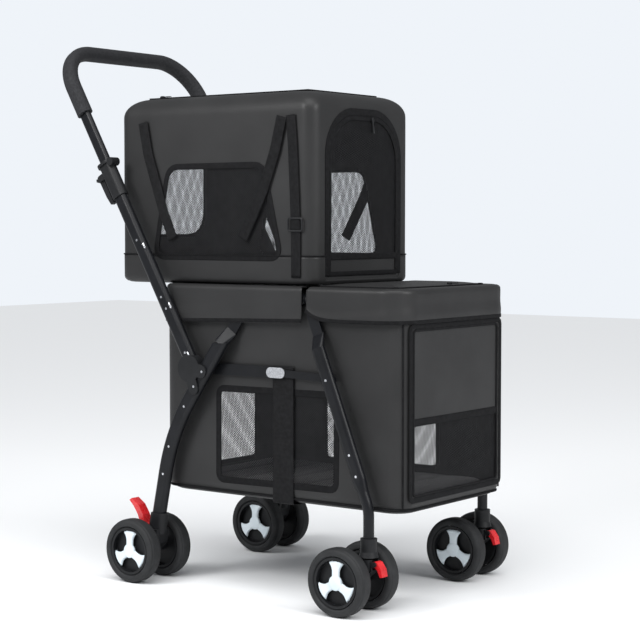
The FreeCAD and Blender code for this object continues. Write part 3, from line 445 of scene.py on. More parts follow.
def cabin_rows():
    """Pairs of inset and height for the cabin's wall, from its bottom edge up and over on to the top."""
    foot, shoulder = 12, 38
    bottom = [(foot - foot * math.sin(math.radians(a)), cz0 + foot - foot * math.cos(math.radians(a)))
              for a in np.linspace(0, 90, 6)]
    wall = [(0.0, z) for z in np.linspace(cz0 + foot, cz1 - shoulder, 58)[1:-1]]
    top = [(shoulder - shoulder * math.cos(math.radians(a)), cz1 - shoulder + shoulder * math.sin(math.radians(a)))
           for a in np.linspace(0, 90, 12)]
    return bottom + wall + top + [(41.0, cz1 + 0.4), (45.0, cz1 - 1.5), (52.0, cz1 - 2.5)]


def cabin_surface(rows, push=0.0):
    """Grid over the cabin: rows are rounded loops, drawn in by their inset and pushed out by crown and ripple."""
    grid = []
    for inset, z in rows:
        corner = cabin_corner + 0.25 * inset
        x, y, nx, ny = rounded_loop(cx0 + inset, cx1 - inset, chalf - inset, corner, loop_steps)
        out = cabin_crown(x, y, z, nx, ny) + push
        grid.append(place(x + nx * out, y + ny * out, z))
    grid = np.array(grid)
    return grid + ripple(grid, 0.0011, 0.16)[..., None] * (grid * [1, 1, 0] - grid.mean((0, 1)) * [1, 1, 0])


def inside(outline, a, b):
    """Whether points lie in a closed outline: counts the edges crossed by a ray."""
    hit = np.zeros(np.shape(a), bool)
    for (a0, b0), (a1, b1) in zip(outline, np.roll(outline, -1, axis=0)):
        crosses = (b0 > b) != (b1 > b)
        hit ^= crosses & (a < (a1 - a0) * (b - b0) / (b1 - b0 + 1e-12) + a0)
    return hit


def softened(corners, radius, steps=9):
    """Closed outline through corners, each rounded by a curve that leaves and meets its sides evenly."""
    corners = np.asarray(corners, float)
    before, after = np.roll(corners, 1, axis=0), np.roll(corners, -1, axis=0)
    out = []
    for p, q, r in zip(before, corners, after):
        a = q + (p - q) / np.linalg.norm(p - q) * radius
        b = q + (r - q) / np.linalg.norm(r - q) * radius
        share = np.linspace(0, 1, steps)[:, None]
        out.append((1 - share) ** 2 * a + 2 * share * (1 - share) * q + share ** 2 * b)
    return np.concatenate(out)


def face_middles(points, faces):
    """Middle of each face in millimetres: ahead of the rear axle, leftwards and up."""
    middle = points.reshape(-1, 3)[faces].mean(1)
    return (middle[:, 0] - rear_axle) * 1000, middle[:, 1] * 1000, middle[:, 2] * 1000


def underside(x0, x1, half, corner, first, rings, z, steps):
    """Flat bottom: rings of a rounded loop, from its middle line out to the foot of the wall."""
    grid = []
    for inset in np.concatenate([np.linspace(first, half - 2, rings), [half]])[::-1]:
        near = min(inset, half - 0.5)
        bend = max(corner * (1 - near / half), 0.4)
        x, y, nx, ny = rounded_loop(x0 + near, x1 - near, half - near, bend, steps)
        grid.append(place(x, y * (inset < half), z))
    return np.array(grid)


def sewn(bottom, wall, wall_faces):
    """A bottom and a wall as one piece: the bottom's last ring meets the wall's first."""
    count = wall.shape[1]
    faces = [quads(len(bottom) + 1, count, False, True), wall_faces + len(bottom) * count]
    return np.concatenate([bottom, wall]), np.concatenate(faces)


def thicken(piece, layer, thickness):
    """Gives a sheet its real thickness in metres, inwards from the face that is drawn."""
    wall = piece.modifiers.new(layer, "SOLIDIFY")
    wall.thickness = thickness
    wall.offset = -1


cabin_window = softened([(30, 824), (272, 824), (312, 646), (-8, 646)], 26)
rear_opening = softened([(-108, 684), (108, 684), (108, 886), (-108, 886)], 60)
_, _, dhalf, dz0, dz1 = span("carrier_door")
arch_radius = 84
door_shape = np.array([(-dhalf, dz0), (dhalf, dz0)] + [
    (np.sign(math.cos(a)) * (dhalf - arch_radius) + arch_radius * math.cos(a),
     dz1 - arch_radius + arch_radius * math.sin(a)) for a in np.linspace(0, math.pi, 25)])
rows = cabin_rows()
skin = cabin_surface(rows)
faces = quads(len(rows), skin.shape[1], False, True)
mx, my, mz = face_middles(skin, faces)
on_side = np.abs(my) > chalf - 12
on_front = mx > cx1 - 10
on_rear = mx < cx0 + 10
cut = on_side & inside(cabin_window, mx, mz)
cut |= on_front & inside(door_shape, my, mz)
cut |= on_rear & inside(rear_opening, my, mz)
bottom = underside(cx0, cx1, chalf, cabin_corner, 30, 9, cz0, loop_steps)
cabin_walls = make_piece("carrier_walls", *sewn(bottom, skin, faces[~cut]), coated_cloth, "cabin", merge=1e-6)
thicken(cabin_walls, "foam", 0.003)
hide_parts("carrier_shell")

# Carrier windows and door net: black mesh, stretched in the openings just inside the wall.
# The threads cross in small diamonds that let the far side show through.
net, spot, shader = new_finish("net", lumps=60, dark=(0.009, 0.009, 0.010), light=(0.018, 0.018, 0.020),
                               IOR=1.3, Roughness=0.6)
tx, ty, tz = parts_of(spot)
thread_rate, thread_share = 670.0, 0.17
rising = ((tx + ty + tz) * thread_rate).sine()
falling = ((tx + ty - tz) * thread_rate).sine()
gap = (rising * rising > thread_share) * (falling * falling > thread_share)
drive(1.0 - gap, shader, "Alpha")


def net_piece(name, surface, pick, finish, body):
    """The faces of a surface that are picked, as a separate thin piece."""
    chosen = quads(surface.shape[0], surface.shape[1], False, True)[pick]
    used, index = np.unique(chosen, return_inverse=True)
    return make_piece(name, surface.reshape(-1, 3)[used], index.reshape(-1, 4), finish, body)


def grown(outline, share):
    """An outline made larger about its middle, by a share of its size."""
    return outline + (outline - outline.mean(0)) * share


def about_door(outline, scale):
    """An outline scaled about the middle of the carrier's door."""
    middle = np.array([(0, 745)])
    return middle + (outline - middle) * scale


inner = cabin_surface(rows, push=-1.4)
for side, sign in sides.items():
    pick = on_side & (my * sign > 0) & inside(grown(cabin_window, 0.06), mx, mz)
    net_piece(f"carrier_window_{side}", inner, pick, net, "cabin")
net_piece("carrier_window_rear", inner, on_rear & inside(rear_opening * [1.05, 1], my, mz), net, "cabin")
door_face = on_front & inside(about_door(door_shape, 1.02), my, mz)
door_foot, door_lap = dz0 + 34, 6
upper_net = net_piece("carrier_door_net", inner, door_face & (mz > door_foot), net, "cabin_door")
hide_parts("carrier_door")
net_piece("carrier_door_foot", cabin_surface(rows, push=-0.6), door_face & (mz <= door_foot + door_lap),
          coated_cloth, "cabin_door")

# Bindings and zip tapes: black grosgrain folded over each raw edge and sewn down.
# The ribs run across the tape, with a row of stitches near each edge.
grosgrain, spot, shader = new_finish(
    "grosgrain", lumps=120, dark=(0.004, 0.004, 0.0045), light=(0.009, 0.009, 0.010),
    smoothest=0.62, rougher=0.18, patches=300, IOR=1.22)
along, across, _ = parts_of(spot.node("UVMap", {"uv_map": "cloth"}))
stitch = ((along * 1900.0).sine() > -0.2) * (((across - 0.5).size() - 0.33).size() < 0.045)
drive(relief((along * 5600.0).sine() * 0.25 + stitch * 1.2, 0.7, 0.0004), shader, "Normal")


def carry(path, facing, profile, closed=False):
    """A profile (sideways, outwards, in metres) along a path; sideways is the path's direction times facing."""
    ahead = np.roll(path, -1, axis=0) - np.roll(path, 1, axis=0)
    if not closed:
        ahead[0], ahead[-1] = path[1] - path[0], path[-1] - path[-2]
    ahead /= np.linalg.norm(ahead, axis=1)[:, None]
    sideways = np.cross(ahead, facing)
    sideways /= np.linalg.norm(sideways, axis=1)[:, None]
    outwards = np.cross(sideways, ahead)
    profile = np.asarray(profile)
    return path[:, None] + profile[None, :, :1] * sideways[:, None] + profile[None, :, 1:] * outwards[:, None]


def tape_profile(width, thick):
    """Section of a tape: a flat oval, listed round."""
    angle = np.linspace(0, 2 * np.pi, 16, endpoint=False)
    side = np.sign(np.cos(angle)) * np.abs(np.cos(angle)) ** 0.35
    rise = np.sign(np.sin(angle)) * np.abs(np.sin(angle)) ** 0.7
    return np.stack([side * width / 2, rise * thick / 2], axis=-1)


def capped(grid):
    """An open tube's grid with both ends closed: a row is added at each, drawn in to its middle."""
    first, last = [end.mean(1, keepdims=True) + 0 * end for end in (grid[:1], grid[-1:])]
    return np.concatenate([first, grid, last])


def tape(name, path, facing, width, thick, finish, body, closed=False):
    """A tape or webbing along a path, with its length and width as its map; open ends are capped."""
    profile = tape_profile(width, thick)
    facing = np.broadcast_to(np.asarray(facing, float), path.shape)
    grid = carry(path, facing, profile, closed)
    length = np.concatenate([[0], np.cumsum(np.linalg.norm(np.diff(path, axis=0), axis=1))])
    uv = np.stack(np.broadcast_arrays(length[:, None], (profile[:, 0] / width + 0.5)[None, :]), axis=-1)
    if not closed:
        grid = capped(grid)
        uv = np.concatenate([uv[:1], uv, uv[-1:]])
    made = make_piece(name, grid, quads(grid.shape[0], grid.shape[1], closed, True), finish, body,
                      uv=uv, merge=1e-7, flip=True)
    return made


def evenly(points, step):
    """Points at even steps along a line of points."""
    length = np.concatenate([[0], np.cumsum(np.linalg.norm(np.diff(points, axis=0), axis=1))])
    at = np.linspace(0, length[-1], max(int(length[-1] / step), 4))
    return np.stack([np.interp(at, length, points[:, k]) for k in range(points.shape[1])], axis=-1)


def walk(outline, step):
    """Points at even steps round a closed outline, the first of them only once."""
    return evenly(np.concatenate([outline, outline[:1]]), step)[:-1]


def on_cabin_side(sign, xz, lift=1.0):
    """Points on the cabin's side wall, from lengths along and up it."""
    x, z = xz[:, 0], xz[:, 1]
    out = cabin_crown(x, 0 * x, z, 0 * x, 1 + 0 * x) + lift
    return place(x, sign * (chalf + out), z)


def on_cabin_front(yz, lift=1.0):
    """Points on the cabin's front wall, from lengths across and up it."""
    y, z = yz[:, 0], yz[:, 1]
    out = cabin_crown(0 * y, y, z, 1 + 0 * y, 0 * y) + lift
    return place(cx1 + out, y, z)


for side, sign in sides.items():
    tape(f"carrier_window_binding_{side}", on_cabin_side(sign, walk(cabin_window, 4), 0.6), (0, sign, 0),
         0.012, 0.0024, grosgrain, "cabin", closed=True)
line = walk(rear_opening, 4)
level = 0 * line[:, 0]
rear_out = cabin_crown(level, line[:, 0], line[:, 1], -1 + level, level) + 0.6
tape("carrier_window_binding_rear", place(cx0 - rear_out, line[:, 0], line[:, 1]), (-1, 0, 0), 0.012, 0.0024,
     grosgrain, "cabin", closed=True)
line = walk(door_shape, 4)
zipped = about_door(line[line[:, 1] > dz0 + 3], 1.03)
tape("carrier_door_zip_tape", on_cabin_front(zipped, 0.5), (1, 0, 0), 0.014, 0.0022, grosgrain, "cabin")
tape("carrier_door_edge", on_cabin_front(about_door(line, 0.965), 0.2), (1, 0, 0),
     0.009, 0.0026, grosgrain, "cabin_door", closed=True)
line = np.stack([np.linspace(-dhalf + 6, dhalf - 6, 50), np.full(50, dz0 + 37)], axis=-1)
tape("carrier_door_band", on_cabin_front(line, 0.3), (1, 0, 0), 0.012, 0.002, grosgrain, "cabin_door")

# Base band: a second layer of the coated cloth sewn round the foot of the carrier, parted at the doorway.
# Piping, a cord in a folded bias strip, is sewn into the seam along its top.
round_angle = np.linspace(0, 2 * np.pi, 10, endpoint=False)
round_cord = np.stack([np.cos(round_angle), np.sin(round_angle)], axis=-1)


def piping(name, path, radius, body, closed=False, finish=grosgrain):
    """A thin round cord along a path; open ends are capped."""
    grid = carry(path, np.broadcast_to(np.array([0.31, 0.17, 0.93]), path.shape), round_cord * radius, closed)
    if not closed:
        grid = capped(grid)
    length = np.arange(len(grid))[:, None] * 0.004
    uv = np.stack(np.broadcast_arrays(length, np.linspace(0, 1, 10)[None, :]), axis=-1)
    made = make_piece(name, grid, quads(grid.shape[0], 10, closed, True), finish, body,
                      uv=uv, merge=1e-7, flip=True)
    return made


seam_row = int(np.argmin([abs(z - (cz0 + 56)) + inset * 9 for inset, z in rows]))
front_wall = place(cx1 - 6, 0, 0)[0]
seam = cabin_surface(rows, push=1.6)[seam_row]
doorway = np.flatnonzero((seam[:, 0] > front_wall) & (np.abs(seam[:, 1]) < (dhalf + 7) / 1000))
seam = np.roll(seam, -doorway[-1] - 1, axis=0)[:len(seam) - len(doorway)]
piping("carrier_base_piping", seam, 0.0013, "cabin")
base_rows = rows[2:seam_row + 1]
base_skin = cabin_surface(base_rows, push=1.0)
base_faces = quads(len(base_rows), base_skin.shape[1], False, True)
at = base_skin.reshape(-1, 3)[base_faces].mean(1)
in_doorway = (at[:, 0] > front_wall) & (np.abs(at[:, 1]) < (dhalf + 4) / 1000) & (at[:, 2] > (dz0 - 7) / 1000)
band = make_piece("carrier_base_band", base_skin, base_faces[~in_doorway], coated_cloth, "cabin")
thicken(band, "foam", 0.0014)


# Top hatch: a crowned panel with a zip round it; it opens towards the front of the cabin.
def crowned_panel(x0, x1, half, corner, z, crown, steps, drop=2.0, rings=26):
    """Closed panel: rings of a rounded loop shrink to its middle line; height rises towards the middle."""
    grid = []
    reach = min(half, (x1 - x0) / 2)
    for share in np.concatenate([[0.0], np.linspace(0, 1, rings)]):
        inset = share * (reach - 1e-3)
        x, y, nx, ny = rounded_loop(x0 + inset, x1 - inset, half - inset, max(corner * (1 - share), 0.05), steps)
        flat = np.minimum(np.minimum(x - x0, x1 - x), half - np.abs(y)) / reach
        height = z + crown * (1 - (1 - np.clip(flat, 0, 1)) ** 3) - (drop if not len(grid) else 0)
        grid.append(place(x, y, height))
    return np.array(grid)


lx0, lx1, lid_half, _, _ = span("carrier_lid")
hatch_points = crowned_panel(lx0 - 3, lx1 + 1, lid_half + 4, 34, cz1 + 1.0, 5.5, loop_steps, drop=5)
hatch = make_piece("carrier_hatch", hatch_points, quads(*hatch_points.shape[:2], False, True), coated_cloth,
                   "cabin_lid", merge=3e-4)
thicken(hatch, "foam", 0.002)
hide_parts("carrier_lid")
tape("carrier_hatch_binding", hatch_points[1] + [0, 0, 0.0004], (0, 0, 1), 0.009, 0.0026,
     grosgrain, "cabin_lid", closed=True)


# Carrier straps: black webbing sewn on each side wall, one upright near the front and two slanting
# to the lower middle, with a three-bar slide on the upright one.
webbing, spot, shader = new_finish(
    "webbing", lumps=150, dark=(0.004, 0.004, 0.0045), light=(0.010, 0.010, 0.011),
    smoothest=0.55, rougher=0.2, patches=300, IOR=1.22)
along, across, _ = parts_of(spot.node("UVMap", {"uv_map": "cloth"}))
twill = ((along * 2400.0) + (across * 60.0)).sine() * (across * 75.0).sine()
drive(relief(twill, 0.55, 0.0004), shader, "Normal")
strap_lines = {
    "upright": ([(338, 916), (343, 860), (348, 760), (350, 700), (350, 610)], 0.022, 3.2),
    "front_slant": ([(318, 914), (302, 850), (274, 776), (248, 728), (222, 682)], 0.024, 4.6),
    "rear_slant": ([(-36, 914), (-22, 850), (0, 790), (20, 735), (44, 682)], 0.024, 4.6),
}
slide_line = softened([(334, 722), (366, 722), (366, 698), (334, 698)], 4)
for side, sign in sides.items():
    for part, (line, width, lift) in strap_lines.items():
        tape(f"carrier_strap_{part}_{side}", on_cabin_side(sign, evenly(np.array(line, float), 6), lift),
             (0, sign, 0), width, 0.0022, webbing, "cabin")
    piping(f"carrier_strap_slide_{side}", on_cabin_side(sign, slide_line, 5.2), 0.0019, "cabin",
           closed=True, finish=nylon)

# Zip pulls: a small slider with a flat tab, one at each zipped opening.
# The tab is a rounded strip hung from the slider.

def zip_pull(name, top, down, facing, body):
    """A slider and its tab, hanging from a point in a direction, lying against a surface."""
    top, down, facing = np.asarray(top, float), np.asarray(down, float), np.asarray(facing, float)
    hang, lift = 0.030, 0.0022
    path = top + down * hang * np.linspace(0, 1, 9)[:, None] + facing * lift
    grid = carry(path, np.broadcast_to(facing, path.shape), tape_profile(1, 1), False)
    width = np.array([5, 7.5, 7.5, 4.0, 4.5, 6.0, 6.5, 6.5, 5.0])[:, None, None] / 1000
    thick = np.array([3, 4.4, 4.4, 2.0, 1.8, 1.8, 1.8, 1.8, 1.4])[:, None, None] / 1000
    middle = path[:, None]
    ahead = down / np.linalg.norm(down)
    side = np.cross(ahead, facing)
    side /= np.linalg.norm(side)
    out = np.cross(side, ahead)
    flat = grid - middle
    grid = capped(middle + (flat @ side)[..., None] * side * width + (flat @ out)[..., None] * out * thick)
    made = make_piece(name, grid, quads(grid.shape[0], grid.shape[1], False, True), nylon, body,
                      merge=1e-7, flip=True)
    return made


door_crown = on_cabin_front(np.array([[dhalf * 0.2, dz1 - 4]]), 1.2)[0]
zip_pull("carrier_door_pull", door_crown, (0, 0.2, -1), (1, 0, 0), "cabin_door")
zip_pull("carrier_hatch_pull", place(lx0 + 40, -lid_half - 2, cz1 + 2.0), (1, -0.15, 0), (0, 0, 1), "cabin_lid")


# Basket: one hanging bag of the same coated cloth, sewn to the rim under the covers.
# Its walls hang a little hollow between the corners, and it folds upwards when the lift strap is pulled.
bx0, bx1, bhalf, bz0, bz1 = span("basket_bag")
bag_corner = 34
bag_steps = (110, 58, 9)
rim_anchor = place(300, 0, 570)


def folds_up(piece):
    """Gives a piece of the basket a mesh of its own, and returns it."""
    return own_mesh(piece)


def bag_rows():
    """Pairs of inset and height for the bag, from its bottom edge up to the rim."""
    foot = 22
    edge = [(foot - foot * math.sin(math.radians(a)), bz0 + foot - foot * math.cos(math.radians(a)))
            for a in np.linspace(0, 90, 9)]
    return edge + [(0.0, z) for z in np.linspace(bz0 + foot, bz1, 62)[1:]]


def bag_hollow(along, up):
    """How far a wall hangs in: most at its middle, with two faint upright folds."""
    return np.sin(np.pi * along) * np.sin(np.pi * up) * (2.6 + 0.9 * np.sin(along * 17) * up)


def bag_surface(rows, push=0.0):
    """Grid over the bag: rounded loops pushed in by the hollow of each wall."""
    grid = []
    for inset, z in rows:
        x, y, nx, ny = rounded_loop(bx0 + inset, bx1 - inset, bhalf - inset, bag_corner, bag_steps)
        up = np.clip((z - bz0) / (bz1 - bz0), 0, 1)
        side = np.abs(ny) * bag_hollow(np.clip((x - bx0) / (bx1 - bx0), 0, 1), up)
        rear = (nx < 0) * np.abs(nx) * bag_hollow(np.clip((y + bhalf) / (2 * bhalf), 0, 1), up)
        out = push - side - rear
        grid.append(place(x + nx * out, y + ny * out, z))
    return np.array(grid)


bag_window = softened([(166, 392), (451, 394), (451, 217), (166, 213)], 15)
rear_window = softened([(-122, 212), (122, 212), (122, 392), (-122, 392)], 15)
_, _, phalf, pz0, pz1 = span("basket_front_panel")
door_corners = softened([(-phalf, pz0), (phalf, pz0), (phalf, pz1), (-phalf, pz1)], 8)
rows = bag_rows()
bag_skin = bag_surface(rows, push=-0.3)
bag_faces = quads(len(rows), bag_skin.shape[1], False, True)
mx, my, mz = face_middles(bag_skin, bag_faces)
bag_side = (np.abs(my) > bhalf - 10) & (mx < bx1 - 20)
bag_front = mx > bx1 - 4
bag_rear = mx < bx0 + 4
cut = bag_side & inside(bag_window, mx, mz)
cut |= bag_front & inside(door_corners, my, mz)
cut |= bag_rear & inside(rear_window, my, mz)
under = underside(bx0, bx1, bhalf, bag_corner, 34, 10, bz0 + 0.3, bag_steps)
basket_walls = make_piece("basket_walls", *sewn(under, bag_skin, bag_faces[~cut]), coated_cloth, "rear_frame",
                          merge=1e-6)
thicken(basket_walls, "cloth", 0.0016)
folds_up(basket_walls)
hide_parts("basket_bag")

# Basket windows: the same black net with a bound edge, low on each side wall and on the rear wall.
net_rows = bag_surface(rows, push=-1.8)
pick = bag_rear & inside(rear_window * [1.06, 1], my, mz)
folds_up(net_piece("basket_window_rear", net_rows, pick, net, "rear_frame"))
line = walk(rear_window, 5)
line_up = np.clip((line[:, 1] - bz0) / (bz1 - bz0), 0, 1)
hollow = bag_hollow(np.clip((line[:, 0] + bhalf) / (2 * bhalf), 0, 1), line_up)
folds_up(tape("basket_window_binding_rear", place(bx0 + hollow + 0.5, line[:, 0], line[:, 1]), (-1, 0, 0),
              0.013, 0.0018, grosgrain, "rear_frame", closed=True))
line = walk(bag_window, 5)
line_up = np.clip((line[:, 1] - bz0) / (bz1 - bz0), 0, 1)
hollow = bag_hollow(np.clip((line[:, 0] - bx0) / (bx1 - bx0), 0, 1), line_up)
for side, sign in sides.items():
    pick = bag_side & (my * sign > 0) & inside(grown(bag_window, 0.05), mx, mz)
    folds_up(net_piece(f"basket_window_{side}", net_rows, pick, net, "rear_frame"))
    path = place(line[:, 0], sign * (bhalf - hollow - 0.5), line[:, 1])
    folds_up(tape(f"basket_window_binding_{side}", path, (0, sign, 0), 0.013, 0.0018, grosgrain, "rear_frame",
                  closed=True))

# Basket edges: a bound seam round the bottom and up each front corner, and the zip tape of the front door.
# The seams are piped, and the tape lies flat on the wall round the doorway.
bottom_edge = bag_surface([(3.5, bz0 + 9.0)], push=0.9)[0]
folds_up(piping("basket_bottom_piping", bottom_edge, 0.0023, "rear_frame", closed=True))
line = walk(door_corners, 5)
door_middle = 367
door_tape = place(bx1 + 0.2, line[:, 0] * 1.045, (line[:, 1] - door_middle) * 1.03 + door_middle)
folds_up(tape("basket_door_zip_tape", door_tape, (1, 0, 0), 0.010, 0.0020, grosgrain, "rear_frame", closed=True))
for side, sign in sides.items():
    path = place(bx1 - 9.0, sign * (bhalf - 9.0), np.linspace(bz0 + 14, bz1 - 6, 70))
    folds_up(piping(f"basket_corner_piping_{side}", path, 0.0017, "rear_frame"))

# Basket door: solid cloth above and net below, sewn along its upper edge and zipped round the rest.
# A grosgrain band covers the seam between the two, and a narrow tape binds the door all round.

def door_sheet(low, high, push, rows_up):
    """Flat grid across the doorway with a faint swell."""
    y = np.linspace(-phalf + 1, phalf - 1, 60)[None, :]
    z = np.linspace(low, high, rows_up)[:, None]
    swell = 1.6 * np.cos(np.pi * y / (2 * phalf)) * np.sin(np.pi * (z - pz0) / (pz1 - pz0))
    return place(bx1 - 2.0 + push + swell, y, z)


net_top = 350.0
for name, grid, finish in (("basket_door_cloth", door_sheet(net_top, pz1, 0.4, 34), coated_cloth),
                           ("basket_door_net", door_sheet(pz0 + 1, net_top + 4, -0.6, 28), net)):
    made = make_piece(name, grid, quads(*grid.shape[:2]), finish, "basket_panel")
    if finish is coated_cloth:
        thicken(made, "cloth", 0.0014)
        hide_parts("basket_front_panel")
    folds_up(made)
seam = door_sheet(net_top, net_top + 0.01, 0.9, 2)[0]
folds_up(tape("basket_door_band", seam, (1, 0, 0), 0.014, 0.0018, grosgrain, "basket_panel"))
edge = place(bx1 - 0.6, line[:, 0] * 0.975, (line[:, 1] - door_middle) * 0.983 + door_middle)
folds_up(tape("basket_door_edge", edge, (1, 0, 0), 0.005, 0.0022, grosgrain, "basket_panel", closed=True))

# Rim covers: a band of the coated cloth turned over each half of the rim and hemmed,
# parted at the front legs so that the two halves can be lifted off for washing.
rx0, rx1, rhalf, _, rtop = span("rim_covers")
cover_steps = (130, 64, 14)
rear_end, front_end = 383, 391


def hem_height(x, front):
    """Height of the hem: the rear band rises slightly forwards, the front band dips in a curve from its end."""
    rear_hem = 517 + 10 * x / 384
    ahead = x - front_end
    front_hem = 527 + 20 * np.exp(-np.clip(ahead, 0, None) / 22) + 3 * ahead / 215
    return np.where(front, front_hem, rear_hem)


def cover_grid(front):
    """Band over the rim: in along the top, round the edge and down to the hem, with a slight flare and slack."""
    grid = []
    drop = 6
    marks = [(33, 0.0, 0), (22, 1.1, 0), (10, 1.0, 0), (5, 0.2, 0), (2, -1.8, 0), (0.4, -4.5, 0)]
    marks += [(0.0, None, share) for share in np.linspace(0.05, 1, 22)]
    for inset, dip, share in marks:
        x, y, nx, ny = rounded_loop(rx0 + inset, rx1 - inset, rhalf - inset, 50 - 0.5 * inset, cover_steps)
        order = np.flatnonzero(x >= front_end if front else x <= rear_end)
        if not front:
            jump = int(np.argmax(np.diff(order) > 1)) + 1
            order = np.concatenate([order[jump:], order[:jump]])
        x, y, nx, ny = (v[order] for v in (x, y, nx, ny))
        z, slack = rtop + (dip or 0.0), 0.0
        if dip is None:
            z = rtop - drop - share * (rtop - drop - hem_height(x, front))
            slack = 1.4 * share ** 2 + 0.8 * np.sin(share * 9 + x * 0.013) * share
        grid.append((x + nx * slack, y + ny * slack, z + 0 * x))
    count = min(len(g[0]) for g in grid)
    return np.array([place(*[v[:count] for v in g]) for g in grid])


for name, front in (("rim_cover_rear", False), ("rim_cover_front", True)):
    grid = cover_grid(front)
    made = make_piece(name, grid, quads(*grid.shape[:2]), coated_cloth, "rear_frame", flip=True)
    thicken(made, "cloth", 0.0016)
    if front:
        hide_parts("rim_covers")
    hem = evenly(grid[-2], 0.004)
    outward = (hem - [0.13, 0, 0]) * [5, 5, 0] + 0.01
    tape(f"{name}_hem", hem + [0, 0, 0.001], outward, 0.007, 0.0022, grosgrain, "rear_frame")

# Deck flap: the zipped lid over the front of the basket, a soft crowned panel with a bound edge.
# It is the coated cloth over thin foam, and its zip pull lies near its front edge.
fx0, fx1, flap_half, _, flap_top = span("basket_top_flap")
flap_points = crowned_panel(fx0 + 0.5, fx1 + 1, flap_half + 1.0, 16, flap_top, 6.5, (44, 76, 9), drop=4, rings=22)
deck_flap = make_piece("deck_flap", flap_points, quads(*flap_points.shape[:2], False, True), coated_cloth,
                       "top_flap", merge=3e-4)
thicken(deck_flap, "cloth", 0.002)
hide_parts("basket_top_flap")
tape("deck_flap_binding", flap_points[1] + [0, 0, 0.0005], (0, 0, 1), 0.010, 0.0026, grosgrain, "top_flap",
     closed=True)
zip_pull("deck_flap_pull", place(fx1 - 4, 30, flap_top + 2.4), (0.1, 1, 0), (0, 0, 1), "top_flap")

# Lift strap: broad webbing from one brace pin down under the basket to the other, riding with the pins.
# It turns under each lower edge of the bag in a tight bend.
strap_rear, strap_front, strap_half, strap_bottom, sz1 = span("support_strap")
sx, sy, sz0 = (strap_rear + strap_front) / 2, strap_half - 1, strap_bottom + 1
bend_radius = 6
turn = np.linspace(0, math.pi / 2, 8)[1:-1]
bend = np.stack([bend_radius * np.cos(turn) - bend_radius, bend_radius - bend_radius * np.sin(turn)], axis=-1)
upright = np.stack([np.full(50, 0.0), np.linspace(sz1 - sz0, bend_radius + 1, 50)], axis=-1)
right_way = np.concatenate([upright, bend])
below = np.linspace(-(sy - bend_radius - 1), sy - bend_radius - 1, 60)
path_y = np.concatenate([-(sy + right_way[:, 0]), below, sy + right_way[::-1, 0]])
path_z = np.concatenate([sz0 + right_way[:, 1], np.full(60, sz0), sz0 + right_way[::-1, 1]])
beside = np.abs(path_y) > sy - 5
outward = np.stack([0 * path_y, path_y * beside, -50.0 * ~beside], axis=-1)
lift_webbing = tape("lift_webbing", place(sx, path_y, path_z), outward, 0.050, 0.0020, webbing, "lift_strap")
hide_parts("support_strap")

# Cushions: quilted pads on the boards of the carrier and of the basket.
# Each is blown up as two sewn sheets, then stitched through in rows.


def flat_pad(name, x0, x1, half, z0, z1, corner, finish, body):
    """A closed flat block with rounded corners, the cut size of a pad before it is filled."""
    grid = []
    tip, mid = half - 0.001, half * 0.5
    for inset, z in ((tip, z0), (mid, z0), (0, z0), (-1, (z0 + z1) / 2), (0, z1), (mid, z1), (tip, z1)):
        bend = max(corner * (1 - max(inset, 0) / half), 0.0005)
        x, y, nx, ny = rounded_loop(x0 + inset, x1 - inset, half - inset, bend, (60, 36, 6))
        grid.append(place(x, y, z))
    grid = np.array(grid)
    return make_piece(name, grid, quads(*grid.shape[:2], False, True), finish, body, merge=3e-4)


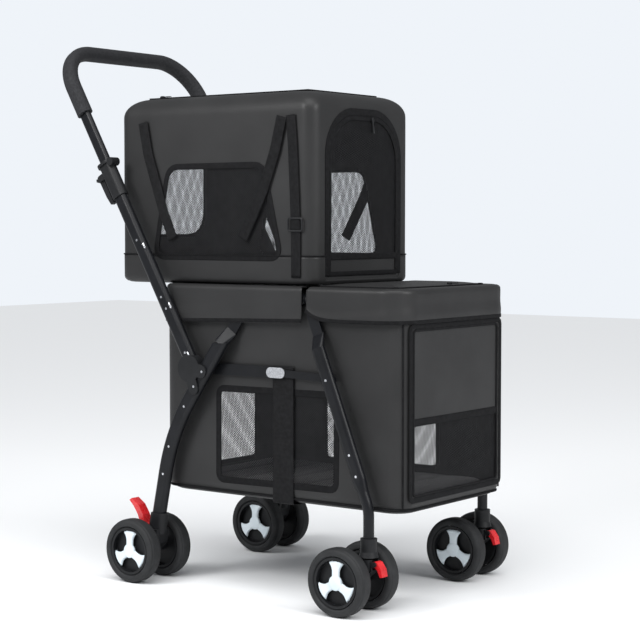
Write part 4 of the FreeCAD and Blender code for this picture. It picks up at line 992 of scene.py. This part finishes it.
def stuff(piece, voxel, cap):
    """Fills a pad: cloth under pressure without weight, each point kept within a cap; stitched and subdivided."""
    row_pitch, stitch_half, stitch_depth, plain_edge = 0.075, 0.10, 0.45, 0.06
    bpy.context.view_layer.objects.active = piece
    even = piece.modifiers.new("even", "REMESH")
    even.mode = "VOXEL"
    even.voxel_size = voxel
    bpy.ops.object.modifier_apply(modifier="even")
    count = len(piece.data.vertices)
    before = np.zeros(count * 3)
    piece.data.vertices.foreach_get("co", before)
    cloth = piece.modifiers.new("filling", "CLOTH")
    cloth.settings.use_pressure = True
    cloth.settings.uniform_pressure_force = 4.0
    cloth.settings.quality = 4
    cloth.settings.effector_weights.gravity = 0.0
    for step in range(1, 21):
        bpy.context.scene.frame_set(step)
    shaped = piece.evaluated_get(bpy.context.evaluated_depsgraph_get()).to_mesh()
    after = np.zeros(count * 3)
    shaped.vertices.foreach_get("co", after)
    piece.modifiers.remove(cloth)
    bpy.context.scene.frame_set(1)
    move = (after - before).reshape(-1, 3)
    far = np.linalg.norm(move, axis=1)[:, None]
    before = before + (move * np.minimum(1, cap / np.maximum(far, 1e-9))).reshape(-1)
    points = before.reshape(-1, 3)
    low, high = points.min(0), points.max(0)
    middle = (low + high) / 2
    half = (high - low) / 2
    rows_down = np.abs((points[:, 0] - low[0]) / row_pitch % 1 - 0.5) * 2
    dip = np.exp(-((1 - rows_down) / stitch_half) ** 2) * stitch_depth
    edge = np.clip(1 - np.abs((points[:, 0] - middle[0]) / half[0]), 0, 1) > plain_edge
    points[:, 2] = middle[2] + (points[:, 2] - middle[2]) * (1 - dip * edge)
    piece.data.vertices.foreach_set("co", points.reshape(-1))
    piece.data.polygons.foreach_set("use_smooth", np.ones(len(piece.data.polygons), bool))
    piece.data.update()
    smooth = piece.modifiers.new("smooth", "SUBSURF")
    smooth.levels = smooth.render_levels = 1
    return piece


pad_cloth, spot, shader = new_finish(
    "pad_cloth", lumps=40, detail=4, dark=(0.016, 0.016, 0.018), light=(0.028, 0.028, 0.031),
    smoothest=0.75, rougher=0.15, patches=120, IOR=1.45, Sheen_Weight=0.3, Sheen_Roughness=0.5)
tx, ty, tz = parts_of(spot)
drive(relief((tx * 3000.0).sine() * (ty * 3000.0).sine() + speckle(spot, 900), 0.4, 0.0004), shader, "Normal")
dress(pad_cloth, "carrier_base", "basket_floor_board")
pad_gap, pad_corner, pad_voxel, pad_cap = 3.5, 24, 0.006, 0.004
top = span("carrier_base")[-1]
stuff(flat_pad("carrier_cushion", cx0 + 16, cx1 - 18, chalf - 16, top + pad_gap, top + 13, pad_corner,
               pad_cloth, "cabin"), pad_voxel, pad_cap)
top = span("basket_floor_board")[-1]
stuff(flat_pad("basket_cushion", bx0 + 24, bx1 - 24, bhalf - 24, top + pad_gap, top + 15, pad_corner,
               pad_cloth, "floor"), pad_voxel, pad_cap)

# Cord clips: small bright spring clips beside each post, for tying down a rain cover.
# Each is a short rounded wire that lies along the post.
clip_half, clip_radius = 0.007, 0.0024
post_half = span("handle_post_left")[2]
up_post = np.array([-0.5, 0, 0.866])
for side, sign in sides.items():
    for number, (x, z) in enumerate([(9, 674), (77, 557), (125, 462)]):
        spread = np.linspace(-1, 1, 9)[:, None]
        path = place(x - 8, sign * (post_half + 1.2), z - 5) + spread * up_post * clip_half
        swell = np.sqrt(np.clip(1 - np.abs(spread) ** 4, 0.02, 1))[:, :, None]
        wire = carry(path, np.broadcast_to([0.0, sign, 0.0], path.shape), round_cord * clip_radius)
        grid = path[:, None] + (wire - path[:, None]) * swell
        clip = make_piece(f"post_clip_{side}_{number}", grid, quads(9, 10, False, True), bright_steel,
                          "rear_frame", flip=True)
